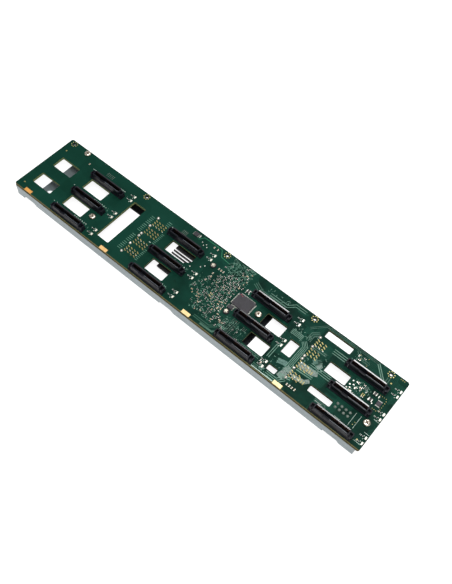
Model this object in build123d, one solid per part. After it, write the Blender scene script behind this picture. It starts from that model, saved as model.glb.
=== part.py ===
"""A drive backplane board: a long circuit board on a folded steel bracket.

Lengths are in millimetres. The board is modelled from its near left corner, with
x along the board, y from the near edge to the far edge and z up from the lowest
face of the bracket. The finished pieces are moved so that the origin lies under
the middle of the board.
"""
from build123d import *
import os

# Drive bays: every column and row repeats the first one
COLUMNS = 4
ROWS = 3
COLUMN_PITCH = 107.7
ROW_PITCH = 27.6
FIRST_COLUMN = 51.9
FIRST_ROW = 1.2
END_MARGIN = 10.6
FAR_MARGIN = 18.3

# Drive receptacle
HOUSING_LENGTH = 44.4
HOUSING_DEPTH = 6.4
HOUSING_HEIGHT = 9.0
TOWER_LENGTH = 4.6
TOWER_HEIGHT = 6.2
TOWER_WALL = 0.9
TOWER_CORNER = 0.9
CHANNEL_WIDTH = 1.3
END_WALL = 0.9
END_WALL_CORNER = 0.6
FOOT_HEIGHT = 1.6
FOOT_DEPTH = 0.6
FAR_WALL = 1.3
NEAR_WALL = 1.2
SLOT_FLOOR = 2.2
LIP_DROP = 0.8
KEY_START = 9.5
KEY_LENGTH = 6.5
KEY_DROP = 1.8

# Receptacle contacts
CONTACT_PITCH = 1.27
CONTACT_WIDTH = 0.7
CONTACT_THICK = 0.45
CONTACT_HEIGHT = 5.4
CONTACT_END_GAP = 0.3
KEY_CLEARANCE = 0.3

# Circuit board
BOARD_THICK = 3.0
BOARD_CORNER = 2.2
WINDOW_CORNER = 0.7
MOUNT_HOLE = 3.5
MOUNT_HOLE_INSET = 3.8
MOUNT_HOLES_X = (6.5, 113.0, 221.0, 327.5, 412.5)
PAD_THICK = 0.1
GROUND_PAD_LENGTH = 9.4
GROUND_PAD_WIDTH = 3.7
GROUND_PAD_INSET = 0.5
GROUND_PADS_FROM_COLUMN = -38.4

# Steel bracket
SHEET = 1.2
BRACKET_HEIGHT = 14.5
BEND_RADIUS = 1.6
FLANGE_SETBACK = 0.3
FLANGE_START = 0.2
FLANGE_END_GAP = 3.4
FLOOR_START = 14.5
FLOOR_END_GAP = 6.8
FRONT_STRIP = 12.8
REAR_RAIL = 10.2
LEFT_WEB_END = 42.0
MIDDLE_WEB = (276.0, 293.0)
RIGHT_WEB_START = 409.0
CUTOUT_CORNER = 3.0
FLOOR_HOLE = (25.2, 21.0)
FLOOR_HOLE_DIAMETER = 9.0
TAB_WIDTH = 14.0
TAB_REACH = 8.0
TAB_CORNER = 2.0
REAR_TAB_END_GAP = 0.4
NOTCHES_X = (19.8, 210.5, 404.0)
NOTCH_LENGTH = 20.5
NOTCH_HEIGHT = 4.0
NOTCH_STEP = 1.2
NOTCH_RAMP = 5.0
NOTCH_DEPTH = 2.2

# Screws and the standoffs that they go into
SCREW_PLACES = ((27.0, 77.0), (90.3, 22.4), (285.0, 45.8), (421.0, 24.9))
SCREW_DIAMETER = 3.4
SCREW_LENGTH = 8.0
SCREW_CLEARANCE = 0.2
SCREW_HEAD = 6.9
SCREW_HEAD_HEIGHT = 2.2
HEAD_BEVEL_HEIGHT = 1.3
HEAD_BEVEL_WIDTH = 1.3
RECESS_LENGTH = 3.6
RECESS_WIDTH = 0.9
RECESS_DEPTH = 1.2
STANDOFF_ACROSS = 6.35

# Expander chip, its heatsink and the two spring pins that hold it
EXPANDER_CENTRE = (238.0, 43.3)
EXPANDER_SIDE = 27.0
EXPANDER_HEIGHT = 2.5
EXPANDER_CORNER = 0.8
SINK_X = (175.0, 270.0)
SINK_Y = (25.2, 62.2)
SINK_BASE = 2.0
FIN_PITCH = 3.35
FIN_THICK = 1.25
FIN_HEIGHT = 5.5
FIN_COUNT = 7
FIN_LAST_Y = 54.3
FINGER_LENGTH = 30.0
FIN_END_GAP = 2.5
SINK_PINS = ((218.5, 58.8), (260.5, 28.3))
SINK_PIN_DIAMETER = 3.0
SINK_PIN_CLEARANCE = 0.2
SINK_PIN_HEAD = 4.6
SINK_PIN_HEAD_HEIGHT = 1.6
COLLAR_DIAMETER = 6.4
COLLAR_HEIGHT = 0.9
BARB_DIAMETER = 4.4
BARB_LENGTH = 1.4
BARB_TAPER = 25

# Double signal connectors on the back, one pair at each place along the board
SIGNAL_X = (136.0, 338.2)
SIGNAL_START = 10.9
SIGNAL_GAP = 0.4
SIGNAL_LENGTH = 27.6
SIGNAL_WIDTH = 22.5
SIGNAL_HEIGHT = 10.5
SIGNAL_WALL = 1.4
PORT_LENGTH = 10.6
PORT_WIDTH = 15.5
PORT_DEPTH = 8.0
PORT_STEP = 12.1
PORT_INSET = 3.5
TONGUE_THICK = 1.2
TONGUE_GAP = 1.6
SHELL_PIN_INSET = 4.5
SHELL_PIN_Y = (1.8, 13.9, 26.0)
SHELL_PIN = 1.2
SHELL_JOINT = 3.2
SHELL_JOINT_HEIGHT = 1.2

# Power connector on the back
POWER_CORNER = (389.9, 16.1)
POWER_CELLS = 4
POWER_PITCH = 4.4
POWER_ROW_STEP = 4.2
POWER_CELL = 3.2
POWER_HEIGHT = 12.0
POWER_WEB = 1.6
POWER_END = 2.1
POWER_SIDE = 2.9
POWER_PIN = 1.2
POWER_PIN_LENGTH = 9.5
POWER_JOINT = 2.8
POWER_JOINT_HEIGHT = 0.9
PIN_CLEARANCE = 0.1
SOLDER_TAPER = 40

# Chips and lights on the front, as centre x, centre y, length, width, height
CONTROL_CHIP = (267.5, 45.4, 19.0, 14.6, 1.4)
SMALL_CHIPS = ((182.0, 75.8, 5.0, 5.0, 1.2), (419.3, 46.3, 4.5, 4.5, 1.0), (260.5, 34.6, 5.0, 4.6, 1.2))
CHIP_EDGE = 0.25
LIGHT_GAP = 8.9
LIGHT_Y = (5.7, 11.7)
LIGHT_SIZE = (1.6, 2.9, 0.9)
RESISTOR_STEP = 4.0
RESISTOR_SIZE = (1.9, 1.1, 0.5)

# Larger capacitors and coils on the front, as centre x and centre y
SMALL_CAPACITORS = ((39.0, 68.3), (206.0, 75.3), (210.3, 75.3))
ROW_CAPACITORS = ((347.5, 7.8), (350.3, 7.8), (353.1, 7.8), (355.9, 7.8))
CHIP_CAPACITORS = ((225.4, 59.3), (228.2, 59.3), (231.0, 59.3), (224.0, 51.8), (225.0, 47.8), (223.5, 41.8))
CAPACITOR_SIZE = (1.2, 2.0, 0.9)
POWER_COILS = ((412.0, 51.8), (411.5, 44.3), (262.7, 58.5))
COIL_SIZE = (3.5, 3.0, 1.5)

# Windows in the board: left and right edge from the column, near and far edge from the row
WINDOWS = {
    "end_far": (0, -40.6, -14.9, 1, 13.1, 27.8),
    "end_near": (0, -40.6, -14.9, 0, 12.7, 27.3),
    "first_far": (0, 3.1, 29.6, 1, 13.1, 27.4),
    "first_near": (0, 3.1, 29.6, 0, 12.7, 27.1),
    "tall": (0, 56.4, 72.1, 0, 9.0, 63.1),
    "second_far": (1, 9.9, 40.4, 1, 13.1, 26.6),
    "second_near": (1, 9.9, 33.4, 0, 11.7, 26.1),
    "third_far": (2, 23.7, 46.7, 1, 11.1, 24.6),
    "third_near": (2, 23.7, 46.7, 0, 12.7, 26.7),
    "slot_far": (2, 56.0, 66.2, 1, 1.1, 17.6),
    "slot_near": (2, 56.2, 66.0, 0, 6.7, 12.9),
    "edge_slot": (3, -30.5, -2.3, 2, 12.1, 20.6),
    "fourth_far": (3, -11.0, 11.5, 1, 11.6, 23.4),
    "fourth_near": (3, -11.0, 13.0, 0, 14.1, 21.1),
}
FOURTH_NOTCH_LENGTH = 8.0
FOURTH_NOTCH_SLOPE = 3.0
FOURTH_NOTCH_RISE = (1.8, 2.8)
SECOND_CORNER_CUT = 5.5

# Values that follow from the sizes above
BOARD_LENGTH = FIRST_COLUMN + (COLUMNS - 1) * COLUMN_PITCH + HOUSING_LENGTH + END_MARGIN
BOARD_DEPTH = FIRST_ROW + (ROWS - 1) * ROW_PITCH + HOUSING_DEPTH + FAR_MARGIN
BOARD_BOTTOM = BRACKET_HEIGHT
BOARD_TOP = BOARD_BOTTOM + BOARD_THICK
FLANGE_END = BOARD_LENGTH - FLANGE_END_GAP
FLOOR_DEPTH = BOARD_DEPTH - FLOOR_END_GAP
SCREW_HOLE = SCREW_DIAMETER + 2 * SCREW_CLEARANCE
SINK_TOP = BOARD_BOTTOM - EXPANDER_HEIGHT
SINK_PIN_HOLE = SINK_PIN_DIAMETER + 2 * SINK_PIN_CLEARANCE
SIGNAL_Y = (SIGNAL_START, SIGNAL_START + SIGNAL_LENGTH + SIGNAL_GAP)
SHELL_PIN_HOLE = SHELL_PIN + 2 * PIN_CLEARANCE
POWER_PIN_HOLE = POWER_PIN + 2 * PIN_CLEARANCE


def column(index):
    """Left end of the receptacles in one column."""
    return FIRST_COLUMN + index * COLUMN_PITCH


def row(index):
    """Near face of the receptacles in one row."""
    return FIRST_ROW + index * ROW_PITCH


def block(x, y, z):
    """A block between the two values given for each direction."""
    size = Box(x[1] - x[0], y[1] - y[0], z[1] - z[0], align=(Align.MIN,) * 3)
    return Pos(x[0], y[0], z[0]) * size


def rod(place, diameter, z):
    """An upright cylinder over a place, between two heights."""
    body = Cylinder(diameter / 2, z[1] - z[0], align=(Align.CENTER, Align.CENTER, Align.MIN))
    return Pos(place[0], place[1], z[0]) * body


def shaft(place, across, z):
    """An upright eight-sided shaft over a place, between two heights."""
    outline = Pos(place[0], place[1], z[0]) * RegularPolygon(across / 2, 8, major_radius=False)
    return extrude(outline, z[1] - z[0])


def plate(x, y, z, corner):
    """A plate with cut upright corners."""
    return chamfer(block(x, y, z).edges().filter_by(Axis.Z), corner)


def pin(place, side, z):
    """An upright square pin over a place, between two heights."""
    return block(around(place[0], side), around(place[1], side), z)


def solder_joint(place, diameter, height, z):
    """A joint that narrows upwards, eight-sided."""
    base = Pos(place[0], place[1], z) * RegularPolygon(diameter / 2, 8)
    return extrude(base, height, taper=SOLDER_TAPER)


def around(centre, side):
    """The two values half a side either way of a centre."""
    return (centre - side / 2, centre + side / 2)


def window_span(name):
    """The x and y ranges of one window."""
    col, left, right, line, near, far = WINDOWS[name]
    return (column(col) + left, column(col) + right), (row(line) + near, row(line) + far)


def window_cut(name):
    """The prism that cuts one window."""
    x, y = window_span(name)
    cut = plate(x, y, (BOARD_BOTTOM - 1, BOARD_TOP + 1), WINDOW_CORNER)
    if name == "second_far":
        reach = SECOND_CORNER_CUT
        corner = Polygon((x[1], y[0]), (x[1], y[0] + reach), (x[1] - reach, y[0]), align=None)
        cut -= Pos(0, 0, BOARD_BOTTOM - 1) * extrude(corner, BOARD_THICK + 2)
    if name.startswith("fourth"):
        top = y[1] + FOURTH_NOTCH_RISE[0 if name.endswith("far") else 1]
        bay_end = x[0] + FOURTH_NOTCH_LENGTH
        bay = Polygon(
            (x[0], y[1] - WINDOW_CORNER), (x[0], top - WINDOW_CORNER), (x[0] + WINDOW_CORNER, top),
            (bay_end, top), (bay_end + FOURTH_NOTCH_SLOPE, y[1] - WINDOW_CORNER), align=None,
        )
        cut += Pos(0, 0, BOARD_BOTTOM - 1) * extrude(bay, BOARD_THICK + 2)
    return cut


def mount_places():
    """The mounting holes along the far edge."""
    return [(x, BOARD_DEPTH - MOUNT_HOLE_INSET) for x in MOUNT_HOLES_X]


def shell_pin_places():
    """Solder pins of the signal connectors."""
    return [(x + SHELL_PIN_INSET, y + step) for x in SIGNAL_X for y in SIGNAL_Y for step in SHELL_PIN_Y]


def power_pin_places():
    """Pins of the power connector, two rows of them."""
    x0, y0 = POWER_CORNER[0] + POWER_END, POWER_CORNER[1] + POWER_SIDE
    return [(x0 + i * POWER_PITCH, y0 + j * POWER_ROW_STEP) for i in range(POWER_CELLS) for j in range(2)]


def circuit_board():
    """The bare board with its windows and holes."""
    span = (BOARD_BOTTOM, BOARD_TOP)
    body = block((0, BOARD_LENGTH), (0, BOARD_DEPTH), span)
    body = fillet(body.edges().filter_by(Axis.Z), BOARD_CORNER)
    cuts = [window_cut(name) for name in WINDOWS]
    deep = (BOARD_BOTTOM - 1, BOARD_TOP + 1)
    cuts += [rod(p, MOUNT_HOLE, deep) for p in mount_places()]
    cuts += [rod(p, SCREW_HOLE, deep) for p in SCREW_PLACES]
    cuts += [shaft(p, SINK_PIN_HOLE, deep) for p in SINK_PINS]
    cuts += [pin(p, SHELL_PIN_HOLE, deep) for p in shell_pin_places()]
    cuts += [pin(p, POWER_PIN_HOLE, deep) for p in power_pin_places()]
    return body - cuts


def floor_outline():
    """The bracket's floor and near flange as one folded profile, extruded along x."""
    y0 = FLANGE_SETBACK
    profile = Polygon(
        (y0, 0), (FLOOR_DEPTH, 0), (FLOOR_DEPTH, SHEET), (y0 + SHEET, SHEET),
        (y0 + SHEET, BRACKET_HEIGHT), (y0, BRACKET_HEIGHT), align=None,
    )
    bend = profile.vertices().sort_by_distance((y0, 0, 0))[0]
    profile = fillet(bend, BEND_RADIUS)
    return Pos(FLOOR_START, 0, 0) * extrude(Plane.YZ * profile, FLANGE_END - FLOOR_START)


def notch(centre):
    """A notch through the flange and its bend, with a steep left end and a long ramp on the right."""
    half = NOTCH_LENGTH / 2
    outline = Polygon(
        (centre - half, -1), (centre + half, -1), (centre + half, 0),
        (centre + half - NOTCH_RAMP, NOTCH_HEIGHT), (centre - half + NOTCH_STEP, NOTCH_HEIGHT),
        (centre - half, 0), align=None,
    )
    return Pos(0, NOTCH_DEPTH, 0) * extrude(Plane.XZ * outline, NOTCH_DEPTH + 1)


def steel_bracket():
    """The folded bracket: flange, floor, two large cut-outs and the screw tabs."""
    body = floor_outline()
    body += block((FLANGE_START, FLOOR_START), (FLANGE_SETBACK, FLANGE_SETBACK + SHEET), (0, BRACKET_HEIGHT))
    rear = (SCREW_PLACES[0][0] - TAB_WIDTH / 2, SCREW_PLACES[0][0] + TAB_WIDTH / 2)
    rear_y = (FLOOR_DEPTH - 2 * CUTOUT_CORNER, BOARD_DEPTH - REAR_TAB_END_GAP)
    body += plate(rear, rear_y, (0, SHEET), TAB_CORNER)
    through = (-1, SHEET + 1)
    reach = (FRONT_STRIP, FLOOR_DEPTH - REAR_RAIL)
    first = plate((LEFT_WEB_END, MIDDLE_WEB[0]), reach, through, CUTOUT_CORNER)
    tab_x, tab_y = SCREW_PLACES[1]
    first -= plate(around(tab_x, TAB_WIDTH), (0, tab_y + TAB_REACH), through, CUTOUT_CORNER)
    second = plate((MIDDLE_WEB[1], RIGHT_WEB_START), reach, through, CUTOUT_CORNER)
    hole = rod(FLOOR_HOLE, FLOOR_HOLE_DIAMETER, through)
    return body - [first, second, hole, *[notch(x) for x in NOTCHES_X]]


def standoff(place):
    """A six-sided standoff with a clear bore for its screw."""
    outline = Pos(place[0], place[1], SHEET) * RegularPolygon(STANDOFF_ACROSS / 2, 6, major_radius=False)
    body = extrude(outline, BOARD_BOTTOM - SHEET)
    return body - rod(place, SCREW_HOLE, (SHEET - 1, BOARD_BOTTOM + 1))


def screw(place):
    """A pan-head screw with a cross recess."""
    body = rod(place, SCREW_HEAD, (BOARD_TOP, BOARD_TOP + SCREW_HEAD_HEIGHT))
    body = chamfer(body.faces().sort_by(Axis.Z)[-1].edges(), HEAD_BEVEL_HEIGHT, HEAD_BEVEL_WIDTH)
    body += rod(place, SCREW_DIAMETER, (BOARD_TOP - SCREW_LENGTH, BOARD_TOP))
    top = BOARD_TOP + SCREW_HEAD_HEIGHT
    arm = (top - RECESS_DEPTH, top + 1)
    body -= block(around(place[0], RECESS_LENGTH), around(place[1], RECESS_WIDTH), arm)
    return body - block(around(place[0], RECESS_WIDTH), around(place[1], RECESS_LENGTH), arm)


def guide_tower():
    """The left end of a receptacle: a low shell that is open above and beside the slot."""
    inner = TOWER_LENGTH - END_WALL
    shell = block((0, TOWER_LENGTH), (FOOT_DEPTH, HOUSING_DEPTH), (0, TOWER_HEIGHT))
    shell = chamfer(shell.edges().filter_by(Axis.Z).sort_by(Axis.X)[:2], TOWER_CORNER)
    above = (FOOT_HEIGHT, TOWER_HEIGHT + 1)
    pocket = block((TOWER_WALL, inner), (FOOT_DEPTH + TOWER_WALL, HOUSING_DEPTH - TOWER_WALL), above)
    channel = block((inner - CHANNEL_WIDTH, inner), (0, HOUSING_DEPTH / 2), above)
    return shell - [pocket, channel]


def slot_walls():
    """The middle of a receptacle: far wall, lower near lip and the walls that close the slot."""
    length, depth, lip = HOUSING_LENGTH, HOUSING_DEPTH, HOUSING_HEIGHT - LIP_DROP
    span = (TOWER_LENGTH - END_WALL, length - TOWER_LENGTH + END_WALL)
    body = plate(span, (FOOT_DEPTH, depth), (0, lip), END_WALL_CORNER)
    slot_x = (TOWER_LENGTH, length - TOWER_LENGTH)
    body += block(slot_x, (depth - FAR_WALL, depth), (0, HOUSING_HEIGHT))
    near = FOOT_DEPTH + NEAR_WALL
    body -= block(slot_x, (near, depth - FAR_WALL), (SLOT_FLOOR, HOUSING_HEIGHT + 1))
    key_x = (TOWER_LENGTH + KEY_START, TOWER_LENGTH + KEY_START + KEY_LENGTH)
    return body - block(key_x, (0, near + 1), (lip - KEY_DROP, lip + 1))


def housing():
    """One receptacle: its foot, the slot with its walls and a guide tower at each end."""
    left = guide_tower()
    right = Pos(HOUSING_LENGTH, 0, 0) * mirror(left, Plane.YZ)
    foot = block((0, HOUSING_LENGTH), (0, HOUSING_DEPTH), (0, FOOT_HEIGHT))
    return slot_walls() + left + right + foot


def contact_springs():
    """The contacts against the far wall of one receptacle, in a group each side of the key."""
    first = TOWER_LENGTH + CONTACT_END_GAP
    last = HOUSING_LENGTH - TOWER_LENGTH - CONTACT_END_GAP
    key = TOWER_LENGTH + KEY_START
    groups = ((first, key - KEY_CLEARANCE), (key + KEY_LENGTH + KEY_CLEARANCE, last))
    back = HOUSING_DEPTH - FAR_WALL
    size = (CONTACT_WIDTH, CONTACT_THICK, CONTACT_HEIGHT)
    found = []
    for start, end in groups:
        count = int((end - start - CONTACT_WIDTH) / CONTACT_PITCH) + 1
        spring = Pos(start, back, SLOT_FLOOR) * Box(*size, align=(Align.MIN, Align.MAX, Align.MIN))
        found += [Pos(i * CONTACT_PITCH, 0, 0) * spring for i in range(count)]
    return found


def expander_chip():
    """The expander chip under the board."""
    x, y = around(EXPANDER_CENTRE[0], EXPANDER_SIDE), around(EXPANDER_CENTRE[1], EXPANDER_SIDE)
    return chamfer(block(x, y, (SINK_TOP, BOARD_BOTTOM)).edges().filter_by(Axis.Z), EXPANDER_CORNER)


def heatsink():
    """A flat heatsink whose left end runs out in free fingers and whose middle has fins."""
    bottom = SINK_TOP - SINK_BASE
    body = block(SINK_X, SINK_Y, (bottom, SINK_TOP))
    gap = FIN_PITCH - FIN_THICK
    fin_x = (SINK_X[0] + FINGER_LENGTH, SINK_X[1] - FIN_END_GAP)
    for i in range(FIN_COUNT):
        y = FIN_LAST_Y - i * FIN_PITCH
        body += block(fin_x, (y - FIN_THICK, y), (bottom - FIN_HEIGHT, bottom))
    for i in range(FIN_COUNT - 1):
        y = FIN_LAST_Y - FIN_THICK - i * FIN_PITCH
        body -= block((SINK_X[0] - 1, fin_x[0]), (y - gap, y), (bottom - 1, SINK_TOP + 1))
    return body - [shaft(p, SINK_PIN_HOLE, (0, BOARD_TOP)) for p in SINK_PINS]


def sink_pin(place):
    """A spring pin through board and heatsink, with a domed head and a barbed end."""
    bottom = SINK_TOP - SINK_BASE
    seat = BOARD_TOP + COLLAR_HEIGHT
    body = shaft(place, SINK_PIN_DIAMETER, (bottom, seat))
    head = rod(place, SINK_PIN_HEAD, (seat, seat + SINK_PIN_HEAD_HEIGHT))
    body += chamfer(head.faces().sort_by(Axis.Z)[-1].edges(), SINK_PIN_HEAD_HEIGHT / 2)
    tip = Pos(place[0], place[1], bottom) * RegularPolygon(BARB_DIAMETER / 2, 8)
    return body + extrude(tip, -BARB_LENGTH, taper=BARB_TAPER)


def collar(place):
    """The ring under a heatsink pin's head."""
    outline = Pos(place[0], place[1], BOARD_TOP) * RegularPolygon(COLLAR_DIAMETER / 2, 12)
    ring = extrude(outline, COLLAR_HEIGHT)
    return ring - shaft(place, SINK_PIN_HOLE, (BOARD_TOP - 1, BOARD_TOP + 2))


def signal_connector(x0, y0):
    """A double connector that opens downwards, with a tongue in each port."""
    bottom = BOARD_BOTTOM - SIGNAL_HEIGHT
    body = block((x0, x0 + SIGNAL_WIDTH), (y0, y0 + SIGNAL_LENGTH), (bottom, BOARD_BOTTOM))
    body = chamfer(body.edges().filter_by(Axis.Z), SIGNAL_WALL / 2)
    roof = bottom + PORT_DEPTH
    port_x = (x0 + PORT_INSET, x0 + PORT_INSET + PORT_WIDTH)
    for i in range(2):
        y = y0 + (SIGNAL_LENGTH - PORT_STEP - PORT_LENGTH) / 2 + i * PORT_STEP
        body -= block(port_x, (y, y + PORT_LENGTH), (bottom - 1, roof))
        side = (y + PORT_LENGTH - TONGUE_GAP - TONGUE_THICK, y + PORT_LENGTH - TONGUE_GAP)
        body += block((port_x[0] + TONGUE_GAP, port_x[1] - TONGUE_GAP), side, (bottom + TONGUE_GAP, roof))
    return body


def shell_pin(place):
    """A connector's solder pin with the round joint that shows on the front."""
    tail = pin(place, SHELL_PIN, (BOARD_BOTTOM, BOARD_TOP))
    return tail + solder_joint(place, SHELL_JOINT, SHELL_JOINT_HEIGHT, BOARD_TOP)


def power_connector():
    """The power socket: two rows of open cells under a web that the pins pass."""
    length = (POWER_CELLS - 1) * POWER_PITCH + 2 * POWER_END
    width = POWER_ROW_STEP + 2 * POWER_SIDE
    bottom = BOARD_BOTTOM - POWER_HEIGHT
    x0, y0 = POWER_CORNER
    body = block((x0, x0 + length), (y0, y0 + width), (bottom, BOARD_BOTTOM))
    for place in power_pin_places():
        cell = (around(place[0], POWER_CELL), around(place[1], POWER_CELL))
        body -= block(*cell, (bottom - 1, BOARD_BOTTOM - POWER_WEB))
        body -= pin(place, POWER_PIN_HOLE, (BOARD_BOTTOM - POWER_WEB - 1, BOARD_BOTTOM + 1))
    return body


def power_pin(place):
    """A pin of the power connector with its solder joint."""
    blade = pin(place, POWER_PIN, (BOARD_BOTTOM - POWER_PIN_LENGTH, BOARD_TOP))
    return blade + solder_joint(place, POWER_JOINT, POWER_JOINT_HEIGHT, BOARD_TOP)


def chip(x, y, length, width, height):
    """A flat chip on the board with a bevelled top."""
    body = block(around(x, length), around(y, width), (BOARD_TOP, BOARD_TOP + height))
    return chamfer(body.faces().sort_by(Axis.Z)[-1].edges(), CHIP_EDGE)


def light_places():
    """Two lights to the right of every receptacle."""
    x = HOUSING_LENGTH + LIGHT_GAP
    return [(column(c) + x, row(r) + y) for c in range(COLUMNS) for r in range(ROWS) for y in LIGHT_Y]


def small_part(place, size):
    """A plain soldered part that lies on the board."""
    return block(around(place[0], size[0]), around(place[1], size[1]), (BOARD_TOP, BOARD_TOP + size[2]))


def capacitor_places():
    """The larger capacitors, loose, in a row and by the expander chip."""
    return SMALL_CAPACITORS + ROW_CAPACITORS + CHIP_CAPACITORS


def ground_pads():
    """Bare gold pads on the near edge, one for each column."""
    y = (GROUND_PAD_INSET, GROUND_PAD_INSET + GROUND_PAD_WIDTH)
    lefts = [column(c) + GROUND_PADS_FROM_COLUMN for c in range(COLUMNS)]
    return [block((x, x + GROUND_PAD_LENGTH), y, (BOARD_TOP, BOARD_TOP + PAD_THICK)) for x in lefts]


def pieces():
    """Every node by name, each a list of solids."""
    found = {
        "circuit_board": [circuit_board()],
        "steel_bracket": [steel_bracket()],
        "bracket_standoffs": [standoff(p) for p in SCREW_PLACES],
        "bracket_screws": [screw(p) for p in SCREW_PLACES],
        "expander_chip": [expander_chip()],
        "expander_heatsink": [heatsink()],
        "heatsink_pins": [sink_pin(p) for p in SINK_PINS],
        "heatsink_pin_collars": [collar(p) for p in SINK_PINS],
        "signal_connector_pins": [shell_pin(p) for p in shell_pin_places()],
        "power_connector": [power_connector()],
        "power_connector_pins": [power_pin(p) for p in power_pin_places()],
        "control_chip": [chip(*CONTROL_CHIP)],
        "small_chips": [chip(*values) for values in SMALL_CHIPS],
        "status_lights": [small_part(p, LIGHT_SIZE) for p in light_places()],
        "light_resistors": [small_part((x - RESISTOR_STEP, y), RESISTOR_SIZE) for x, y in light_places()],
        "ceramic_capacitors": [small_part(p, CAPACITOR_SIZE) for p in capacitor_places()],
        "power_coils": [small_part(p, COIL_SIZE) for p in POWER_COILS],
        "ground_pads": ground_pads(),
    }
    shell, springs = housing(), contact_springs()
    for c in range(COLUMNS):
        for r in range(ROWS):
            seat = Pos(column(c), row(r), BOARD_TOP)
            name = "abcd"[c] + str(ROWS - r)
            found["drive_receptacle_" + name] = [seat * shell]
            found["drive_contacts_" + name] = [seat * spring for spring in springs]
    for x, side in zip(SIGNAL_X, ("left", "right")):
        for y, line in zip(SIGNAL_Y, ("near", "far")):
            found[f"signal_connector_{side}_{line}"] = [signal_connector(x, y)]
    return found


def main():
    os.makedirs("parts", exist_ok=True)
    centre = Pos(-BOARD_LENGTH / 2, -BOARD_DEPTH / 2, 0)
    for name, solids in pieces().items():
        moved = [centre * one for solid in solids for one in solid.solids()]
        shape = moved[0] if len(moved) == 1 else Compound(moved)
        export_step(shape, f"parts/{name}.step")


main()
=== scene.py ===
import math

import bpy
import numpy as np
from mathutils import Matrix, Vector

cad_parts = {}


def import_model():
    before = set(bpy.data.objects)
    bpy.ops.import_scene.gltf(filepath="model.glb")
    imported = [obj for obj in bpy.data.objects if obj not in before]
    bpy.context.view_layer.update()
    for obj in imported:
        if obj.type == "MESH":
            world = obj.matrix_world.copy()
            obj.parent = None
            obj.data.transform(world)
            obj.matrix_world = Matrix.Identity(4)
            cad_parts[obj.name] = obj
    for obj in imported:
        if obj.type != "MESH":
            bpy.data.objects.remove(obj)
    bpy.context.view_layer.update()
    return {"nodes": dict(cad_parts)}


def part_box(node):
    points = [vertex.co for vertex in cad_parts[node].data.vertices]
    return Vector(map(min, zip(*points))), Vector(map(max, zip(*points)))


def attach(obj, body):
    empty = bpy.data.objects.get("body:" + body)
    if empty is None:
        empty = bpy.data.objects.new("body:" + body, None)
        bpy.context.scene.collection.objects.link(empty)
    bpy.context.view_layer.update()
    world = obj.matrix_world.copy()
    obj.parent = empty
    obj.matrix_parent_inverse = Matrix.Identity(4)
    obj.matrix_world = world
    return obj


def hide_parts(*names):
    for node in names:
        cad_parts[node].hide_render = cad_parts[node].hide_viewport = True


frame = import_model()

bl_info = {
    "name": "Drive Backplane Dresser",
    "version": (1, 0, 0),
    "blender": (4, 5, 0),
    "location": "3D View > Sidebar > Backplane",
    "description": "Finishes a server drive backplane: board, receptacles, small parts and bracket",
    "category": "Object",
}

NODES = frame["nodes"]
BODY = "root"
MM = 0.001

# Places are in millimetres from the near left corner of the solder mask, with heights from the board's face
BARE_EDGE = 0.8
BOARD_LOW, BOARD_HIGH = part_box("circuit_board")
TOP = BOARD_HIGH[2] / MM
LEFT = BOARD_LOW[0] / MM
NEAR = BOARD_LOW[1] / MM + BARE_EDGE
FAR_EDGE = BOARD_HIGH[1] / MM - NEAR
RECEPTACLES = [column + row for column in "abcd" for row in "321"]
ROW_STEP = 27.6

# The camera: where it stands from the mask's corner, and its right and up directions
CAMERA_FROM_CORNER = (441.494, -225.311, 553.885)
CAMERA_RIGHT = (0.7630868, 0.6447416, 0.0447974)
CAMERA_UP = (-0.5716295, 0.6409624, 0.5122568)
FOCAL_SHARE = 683.3 / 584  # focal length over the picture's height
SENSOR = 36.0


def srgb(red, green, blue):
    """A colour given as 0 to 255 values, turned to linear light."""
    values = np.array([red, green, blue]) / 255
    linear = np.where(values <= 0.04045, values / 12.92, ((values + 0.055) / 1.055) ** 2.4)
    return (*linear.tolist(), 1.0)


# Shapes, each as points in millimetres and faces
SHARPEST_MITRE = 0.4  # least cosine at a corner, so that a sharp one doesn't run out
DISC_TOP = 0.86  # width of a disc's top over its foot
FLAT_EDGE = 0.02  # drawn-in edge of pads, print and other flat pieces
LEAD_EDGE = 0.1  # drawn-in edge of tinned metal
EDGE_SHARE = 0.3  # most that an edge takes of a block's least size
# How far each of a block's four rings is drawn in and let down from the top, in edges
RING_DRAW = (0, 0, 0.35, 1)
RING_DROP = (0, 1, 0.35, 0)
CAP_PROUD = 0.04  # how far a cap stands over the part under it
THIN_EDGE = 0.01  # drawn-in edge of ink and strokes
ROUND_SIDES = 10  # sides of a round pad


def to_metres(points):
    """Mask millimetres turned to metres in the frame."""
    return (np.asarray(points, float) + np.array([LEFT, NEAR, TOP])) * MM


def mask_box(node):
    """The low and high corners of a node in mask millimetres."""
    return (np.array(corner) / MM - (LEFT, NEAR, TOP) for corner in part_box(node))


def make_piece(name, shape, material, smooth=False):
    """A mesh object at the origin with its place in its vertices, riding on the part."""
    points, faces = shape
    mesh = bpy.data.meshes.new(name)
    mesh.from_pydata(to_metres(points), [], faces)
    mesh.materials.append(MATERIALS[material])
    mesh.polygons.foreach_set("use_smooth", np.full(len(mesh.polygons), smooth))
    mesh.update()
    piece = bpy.data.objects.new(name, mesh)
    bpy.context.scene.collection.objects.link(piece)
    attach(piece, BODY)
    return piece


def join_shapes(shapes):
    """Many (points, faces) shapes as one."""
    points, faces, start = [], [], 0
    for more_points, more_faces in shapes:
        points.append(more_points)
        faces += [tuple(index + start for index in face) for face in more_faces]
        start += len(more_points)
    return np.concatenate(points), faces


def ring_faces(rings, count):
    """Quads between stacked closed rings of count points, facing out when the rings turn left going up."""
    ring, side = np.meshgrid(np.arange(rings - 1), np.arange(count), indexing="ij")
    here, beside = ring * count + side, ring * count + (side + 1) % count
    return np.stack([here, beside, beside + count, here + count], -1).reshape(-1, 4)


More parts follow.
